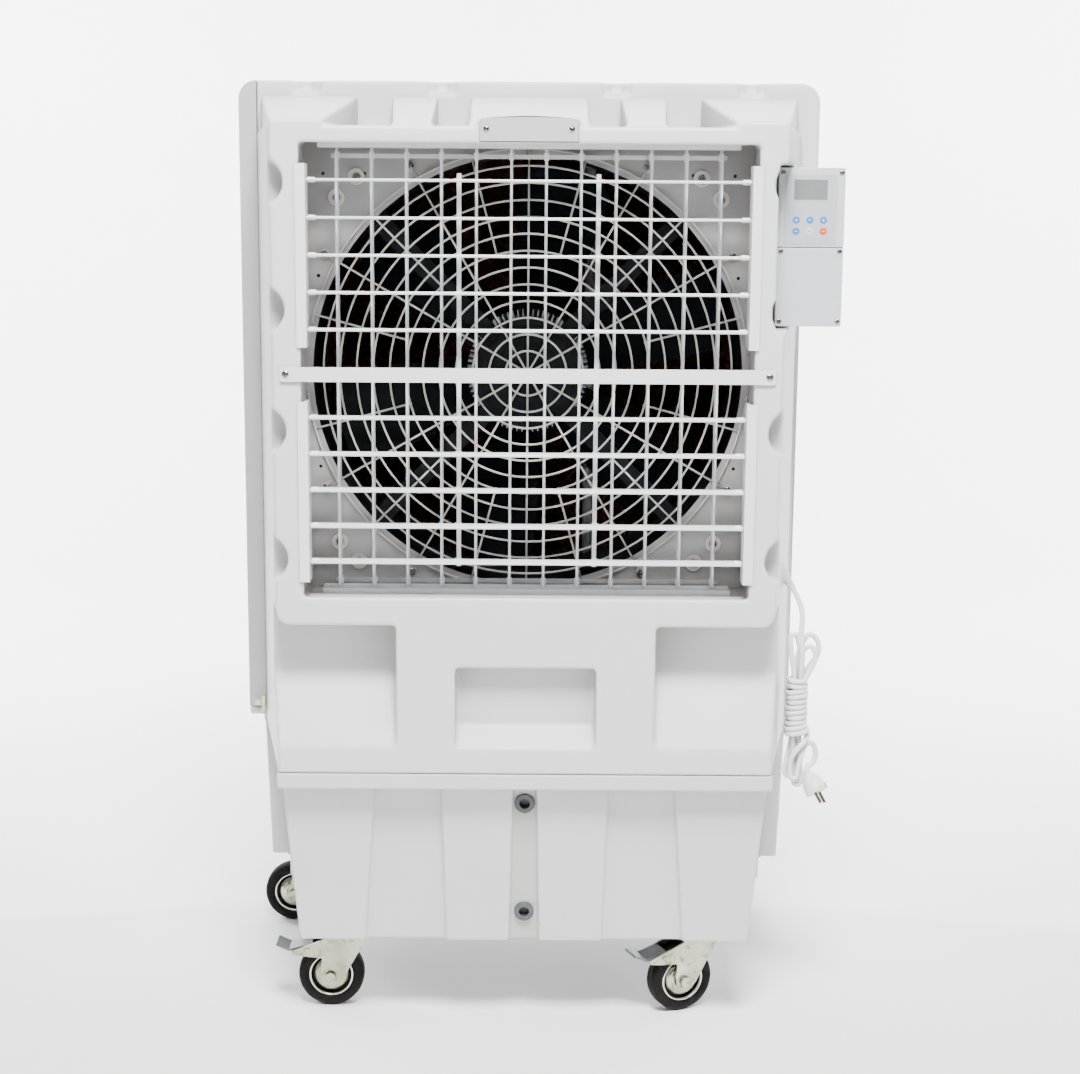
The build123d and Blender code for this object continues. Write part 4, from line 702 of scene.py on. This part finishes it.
def fan_rotor():
    """Six twisted blades on a hub with rounded shoulders."""
    low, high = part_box("fan_rotor")
    middle = (low.y + high.y) / 2
    bm = bmesh.new()
    for k in range(BLADE_COUNT):
        loops = []
        for s in range(BLADE_STEPS + 1):
            share = s / BLADE_STEPS
            radius = BLADE_ROOT + share * (BLADE_TIP - BLADE_ROOT)
            chord = 0.080 + 0.066 * math.sin(share * math.pi / 2)
            chord *= 1 - 0.35 * max(0.0, share - 0.93) / 0.07
            loops.append(blade_loop(radius, chord, math.radians(39 - 16 * share), 0.035, 0.0042))
        made = loops_to_skin(bm, loops)
        turn = Matrix.Rotation(math.radians(k * 360 / BLADE_COUNT + 12), 4, "Y")
        bmesh.ops.transform(bm, matrix=Matrix.Translation((0, middle, FAN_CENTRE.z)) @ turn,
                            verts=[v for ring in made for v in ring])
    front, back = -0.110, -0.048
    profile = [(0.0091, front), (0.022, front), (0.024, front + 0.003), (0.050, front + 0.003), (0.062, front + 0.005),
               (0.069, front + 0.011), (0.070, front + 0.018), (0.070, back - 0.004), (0.067, back),
               (0.060, back - 0.003), (0.024, back - 0.003), (0.0091, back - 0.003), (0.0091, front)]
    hub = bmesh.new()
    lathe(hub, profile, 64)
    bmesh.ops.remove_doubles(hub, verts=hub.verts, dist=1e-7)
    place = Matrix.Translation((0, 0, FAN_CENTRE.z)) @ Matrix.Rotation(math.radians(-90), 4, "X")
    bmesh.ops.transform(hub, matrix=place, verts=hub.verts)
    mesh = bpy.data.meshes.new("hub_part")
    hub.to_mesh(mesh)
    hub.free()
    bm.from_mesh(mesh)
    obj = piece("fan_blades", bm, ["rotor"], "fan", ["fan_rotor"])
    crease_by_angle(obj, 40)
    return obj


# ------------------------------------------------------------------ castors
CASTORS = ("front_left", "front_right", "rear_left", "rear_right")


def castor_wheel(corner):
    """Rubber tyre on a pressed, domed wheel disc with a bright rim."""
    joint = JOINTS[f"wheel_{corner}"]
    origin, axis = Vector(joint["pos_m"]), Vector(joint["axis"])
    tyre = [(0.0340, 0.0118), (0.0352, 0.0128), (0.0400, 0.0139), (0.0448, 0.0137), (0.0478, 0.0122),
            (0.0492, 0.0098), (0.0497, 0.0074), (0.0490, 0.0068), (0.0490, 0.0060), (0.0499, 0.0054),
            (0.0500, 0.0014), (0.0493, 0.0009), (0.0493, 0.0)]
    profile = [(r, -h) for r, h in tyre] + [(r, h) for r, h in reversed(tyre[:-1])]
    profile.append(profile[0])
    bm = bmesh.new()
    lathe(bm, profile, 72)
    bmesh.ops.remove_doubles(bm, verts=bm.verts, dist=1e-7)
    place = aligned(origin, axis)
    rubber = piece(f"tyre_{corner}", bm, ["tyre"], f"castor_wheel_{corner}", (), place=place)
    crease_by_angle(rubber, 50)

    half = [(0.0051, 0.0150, 1), (0.0100, 0.0150, 1), (0.0106, 0.0139, 1), (0.0124, 0.0137, 1), (0.0132, 0.0146, 1),
            (0.0160, 0.0144, 1), (0.0185, 0.0137, 1), (0.0192, 0.0128, 1), (0.0210, 0.0126, 1), (0.0232, 0.0114, 1),
            (0.0252, 0.0096, 1), (0.0266, 0.0074, 1), (0.0272, 0.0050, 2), (0.0300, 0.0050, 2),
            (0.0305, 0.0120, 0), (0.0311, 0.0131, 0), (0.0322, 0.0135, 0), (0.0333, 0.0130, 0), (0.0340, 0.0112, 0)]
    profile = [(r, -h) for r, h, _ in half] + [(r, h) for r, h, _ in reversed(half)]
    steps = [m for _, _, m in half[1:]] + [0] + [m for _, _, m in reversed(half[1:])]
    profile.append(profile[0])
    steps.append(1)
    bm = bmesh.new()
    lathe(bm, profile, 64, steps)
    bmesh.ops.remove_doubles(bm, verts=bm.verts, dist=1e-7)
    hub = piece(f"wheel_hub_{corner}", bm, ["bright", "zinc", "tyre"], f"castor_wheel_{corner}",
                [f"castor_wheel_{corner}"], place=place)
    crease_by_angle(hub, 45)


# ------------------------------------------------------------------ wet pads
SHEET_PITCH = 0.0115
WAVE_LENGTH = 0.026
WAVE_STEPS = 6
SHEET_T = 0.0007


def pad_sheets(bm, low, high, across):
    """Corrugated sheets on edge: neighbours wave against each other, which leaves the flutes open."""
    axis = 0 if across == "X" else 1
    depth = 1 - axis
    count = int((high[axis] - low[axis]) / SHEET_PITCH)
    pitch = (high[axis] - low[axis]) / count
    swing = pitch / 2 - SHEET_T
    step = WAVE_LENGTH / WAVE_STEPS
    levels = int((high[2] - low[2]) / step)
    for k in range(count):
        centre = low[axis] + (k + 0.5) * pitch
        sign = 1 if k % 2 else -1
        loops = []
        for level in range(levels + 1):
            z = low[2] + level * step
            wave = centre + sign * swing * math.sin(2 * math.pi * level / WAVE_STEPS)
            loop = []
            for side, face in ((-1, low[depth]), (1, low[depth]), (1, high[depth]), (-1, high[depth])):
                point = [0.0, 0.0, z]
                point[axis] = wave + side * SHEET_T / 2
                point[depth] = face
                loop.append(Vector(point))
            loops.append(loop)
        loops_to_skin(bm, loops)


PAD_DEPTH = 0.074               # thickness of the side pads


def cooling_pads():
    """Rear, left and right pads of corrugated cellulose."""
    bm = bmesh.new()
    box_low, box_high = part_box("cooling_pads")
    z0, z1 = box_low.z, box_high.z
    back = box_high.y
    pad_sheets(bm, (-0.322, back - 0.076, z0), (0.322, back, z1), "X")
    pad_sheets(bm, (box_low.x, box_low.y, z0), (box_low.x + PAD_DEPTH, back, z1), "Y")
    pad_sheets(bm, (box_high.x - PAD_DEPTH, 0.056, z0), (box_high.x, back, z1), "Y")
    # a sealed core keeps daylight from passing straight through
    box_in(bm, (box_low.x + PAD_DEPTH + 0.0005, back - 0.050, z0 + 0.001),
           (box_high.x - PAD_DEPTH - 0.0005, back - 0.026, z1 - 0.001))
    box_in(bm, (box_low.x + 0.025, box_low.y + 0.001, z0 + 0.001), (box_low.x + 0.049, back - 0.001, z1 - 0.001))
    box_in(bm, (box_high.x - 0.049, 0.057, z0 + 0.001), (box_high.x - 0.025, back - 0.001, z1 - 0.001))
    return piece("cellulose_pads", bm, ["pad"], HOUSING, ["cooling_pads"], smooth=False)


# ------------------------------------------------------------------ controls and screws
BOX_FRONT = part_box("control_lids")[0].y
KEY_COLORS = (("key_blue", "key_blue", "key_blue"), ("key_blue", "key_white", "key_red"))
KEY_COLUMNS, KEY_ROWS, KEY_R = (0.3735, 0.3925, 0.4115), (1.190, 1.1745), 0.0051


def rounded_plate(bm, x0, x1, z0, z1, y_front, y_back, corner, steps=5, material=0):
    """Upright plate facing -Y with round corners and a softened front edge."""
    def outline(shrink, y):
        points = []
        r = max(corner - shrink, 0.0002)
        for cx, cz, start in ((x1 - corner, z1 - corner, 0), (x0 + corner, z1 - corner, 90),
                              (x0 + corner, z0 + corner, 180), (x1 - corner, z0 + corner, 270)):
            for s in range(steps + 1):
                a = math.radians(start + 90 * s / steps)
                points.append(Vector((cx + r * math.cos(a), y, cz + r * math.sin(a))))
        return points
    soft = min(0.0004, (y_back - y_front) / 2)
    loops = [outline(0.0, y_back), outline(0.0, y_front + soft), outline(soft, y_front)]
    loops_to_skin(bm, loops, material=material)


def control_panel():
    """Membrane panel with a display window and six keys, each with a plain mark."""
    low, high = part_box("control_panel")
    front = BOX_FRONT - 0.0006
    bm = bmesh.new()
    rounded_plate(bm, low.x, high.x, low.z, high.z, front, BOX_FRONT, 0.003)
    rounded_plate(bm, 0.3675, 0.4180, 1.2160, 1.2475, front - 0.0003, front, 0.0012, material=1)
    rounded_plate(bm, 0.3695, 0.4160, 1.2180, 1.2455, front - 0.0005, front - 0.0003, 0.0006, material=2)
    obj = piece("panel_overlay", bm, ["film", "bezel", "display"], HOUSING, ["control_panel"])
    crease_by_angle(obj, 30)
    for row, (z, colors) in enumerate(zip(KEY_ROWS, KEY_COLORS)):
        for column, (x, color) in enumerate(zip(KEY_COLUMNS, colors)):
            bm = bmesh.new()
            lathe(bm, [(0, 0.00065), (KEY_R * 0.6, 0.00062), (KEY_R * 0.85, 0.00048), (KEY_R, 0.0002), (KEY_R, 0)], 36)
            key = piece(f"key_{row}_{column}", bm, [color], HOUSING,
                        place=aligned((x, front, z), (0, -1, 0)))
            crease_by_angle(key, 50)
            bm = bmesh.new()
            top = front - 0.00062
            mark = "key_mark" if color != "key_white" else "key_blue"
            box_in(bm, (x - 0.0018, top - 0.0002, z - 0.00045), (x + 0.0018, top + 0.0002, z + 0.00045))
            if (row + column) % 2 == 0:
                box_in(bm, (x - 0.00045, top - 0.00021, z - 0.0018), (x + 0.00045, top + 0.00019, z + 0.0018))
            piece(f"key_mark_{row}_{column}", bm, [mark], HOUSING, smooth=False)


def screw_head(bm, place, radius, height, washer=0.0):
    """Pan head with a cross recess, built as a grid disc whose cross cells are sunk."""
    head = bmesh.new()
    rings, segments = 7, 32
    slot_half = radius * 0.13
    reach = radius * 0.62
    sink = height * 0.75
    levels = []
    for ring in range(rings + 1):
        share = ring / rings
        dome = height * math.sqrt(max(0.0, 1 - share ** 3))
        levels.append((radius * share, max(dome, height * 0.25) if ring < rings else height * 0.25))
    grid = []
    for r, h in levels[1:]:
        loop = []
        for k in range(segments):
            a = 2 * math.pi * k / segments
            x, y = r * math.cos(a), r * math.sin(a)
            inside = (abs(x) < slot_half * 1.6 or abs(y) < slot_half * 1.6) and r < reach
            loop.append(head.verts.new((x, y, h - (sink if inside else 0.0))))
        grid.append(loop)
    centre = head.verts.new((0, 0, height - sink))
    for k in range(segments):
        n = (k + 1) % segments
        head.faces.new((centre, grid[0][k], grid[0][n]))
        for first, second in zip(grid, grid[1:]):
            head.faces.new((first[k], second[k], second[n], first[n]))
    base = [head.verts.new((radius * math.cos(2 * math.pi * k / segments),
                            radius * math.sin(2 * math.pi * k / segments), 0)) for k in range(segments)]
    for k in range(segments):
        n = (k + 1) % segments
        head.faces.new((grid[-1][k], base[k], base[n], grid[-1][n]))
    head.faces.new(base)
    if washer:
        lathe(head, [(0, -0.002), (washer, -0.002), (washer, 0.0006), (washer - 0.0008, 0.0016),
                     (washer - 0.0034, 0.0016), (washer - 0.0042, 0.0001), (0, 0.0001)], 40, [1] * 6)
    bmesh.ops.transform(head, matrix=place, verts=head.verts)
    mesh = bpy.data.meshes.new("head_part")
    head.to_mesh(mesh)
    head.free()
    bm.from_mesh(mesh)


def housing_screws():
    """One cross-headed screw at each place the CAD drives one, found from the CAD screws themselves."""
    source = bmesh.new()
    source.from_mesh(NODES["housing_screws"].data)
    bmesh.ops.remove_doubles(source, verts=source.verts, dist=2e-6)
    seen, heads = set(), []
    for vert in source.verts:
        if vert in seen:
            continue
        stack, group = [vert], []
        seen.add(vert)
        while stack:
            current = stack.pop()
            group.append(current.co.copy())
            for edge in current.link_edges:
                other = edge.other_vert(current)
                if other not in seen:
                    seen.add(other)
                    stack.append(other)
        low = Vector([min(c[i] for c in group) for i in range(3)])
        high = Vector([max(c[i] for c in group) for i in range(3)])
        heads.append((low, high))
    source.free()
    bm = bmesh.new()
    for index, (low, high) in enumerate(sorted(heads, key=lambda h: (round(h[0].x, 4), round(h[0].z, 4)))):
        width = (high.x - low.x) / 2
        washer = width if width > 0.010 else 0.0
        radius = 0.0058 if washer else width
        height = 0.004 if washer else (0.0035 if width > 0.0055 else 0.002 if width > 0.004 else 0.0016)
        face = low.y + (0.005 if washer else height)
        centre = Vector(((low.x + high.x) / 2, face, (low.z + high.z) / 2))
        turn = Matrix.Rotation(0.6 * index, 4, "Z")
        screw_head(bm, aligned(centre, (0, -1, 0)) @ turn, radius, height, washer)
    obj = piece("cross_head_screws", bm, ["steel", "washer"], HOUSING, ["housing_screws"])
    crease_by_angle(obj, 30)
    return obj


def arched_outline(low, high, rise, corner, steps=8):
    """Plate outline with rounded top corners and a top edge that bows upwards."""
    points = [(low.x, low.z), (high.x, low.z)]
    half, middle, top = (high.x - low.x) / 2, (low.x + high.x) / 2, high.z - rise
    for s in range(steps + 1):
        a = math.radians(90 * s / steps)
        points.append((high.x - corner + corner * math.cos(a), top - corner + corner * math.sin(a)))
    for s in range(1, 16):
        across = (half - corner) * (1 - s / 8)
        points.append((middle + across, top + rise * (1 - (across / (half - corner)) ** 2)))
    for s in range(steps + 1):
        a = math.radians(90 + 90 * s / steps)
        points.append((low.x + corner + corner * math.cos(a), top - corner + corner * math.sin(a)))
    return points


def name_plate():
    """Blank plate on a dark backing sheet, a painted shadow that shows as a thin line along its bowed top edge."""
    low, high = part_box("name_plate")
    margin = Vector((0.0007, 0, 0.0))
    bm = bmesh.new()
    # the larger dark sheet behind the plate is a painted shadow line along the top edge
    for material, a, b, front, back, rise in (
            (1, low - margin - Vector((0, 0, 0.0012)), high + margin + Vector((0, 0, 0.0016)),
             high.y - 0.0009, high.y + 0.0004, 0.0034),
            (0, low, high, low.y, high.y - 0.0009, 0.0018)):
        outline = arched_outline(a, b, rise, 0.0072)
        loops = [[Vector((x, y, z)) for x, z in outline] for y in (back, front)]
        loops_to_skin(bm, loops, material=material)
    obj = piece("blank_plate", bm, ["plate", "plate_gap_shadow"], HOUSING, ["name_plate"])
    crease_by_angle(obj, 35)
    return obj


FIN_COUNT, FIN_HALF_WIDTH = 72, 0.0007
FIN_FRONT, FIN_BACK = -0.181, -0.126
FIN_ROOT, FIN_TIP = 0.079, 0.0878


def motor_fins():
    """Fine cast fins round the motor, pale all over: a painted highlight for the light their edges catch."""
    bm = bmesh.new()
    for k in range(FIN_COUNT):
        made = box_in(bm, (-FIN_HALF_WIDTH, FIN_FRONT, FIN_ROOT), (FIN_HALF_WIDTH, FIN_BACK, FIN_TIP))
        turn = Matrix.Translation((0, 0, FAN_CENTRE.z)) @ Matrix.Rotation(math.radians(k * 360 / FIN_COUNT), 4, "Y")
        bmesh.ops.transform(bm, matrix=turn, verts=made)
    return piece("motor_fins", bm, ["fin"], HOUSING, smooth=False)


# ------------------------------------------------------------------ carried-over CAD nodes
def carried_nodes():
    """CAD nodes that keep their own mesh and get rounded edges and a material."""
    mould("front_shell", "shell", 2.9, 4, 0.2)
    mould("rear_cabinet", "cabinet", 3.4, 4, 0.16)
    mould("water_tank", "tank", 2.6, 3, 0.16)
    for side in ("left", "right", "rear"):
        soften(f"{side}_pad_frame", "pad_frame", 0.9, 2)
    soften("pad_clip", "clip", 0.8)
    soften("fan_panel", "panel", 0.5, 2)
    repaint(MATERIALS["panel"], DUCT_BLACK, duct_mask)
    # painted shade in the tank's front channel
    repaint(MATERIALS["tank"], CHANNEL_SHADE, channel_shade_mask)
    soften("fan_motor", "motor", 0.8, 2)
    soften("blade_rails", "blade", 0.5, 2)
    soften("cross_bar", "enamel", 0.8)
    soften("control_box", "box", 0.8)
    soften("control_lids", "box", 0.5)
    soften("castor_plates", "zinc", 0.5, 2)
    soften("water_distributor", "pipe", 1.0, 2)
    soften("tank_fittings", "fitting", 0.6, 2)
    for node in NODES:
        if node.startswith(("louvre", "vane")):
            soften(node, "blade", 0.5, 2)
        elif node.startswith("castor_fork"):
            soften(node, "zinc", 0.8, 3)
        elif node.startswith("brake_pedal"):
            soften(node, "pedal", 0.6, 2)


studio()
carried_nodes()
lead, lead_exit = power_cord()
strain_relief()
plug_piece = plug()
fan_guard()
fan_rotor()
for corner_name in CASTORS:
    castor_wheel(corner_name)
cooling_pads()
control_panel()
housing_screws()
name_plate()
motor_fins()
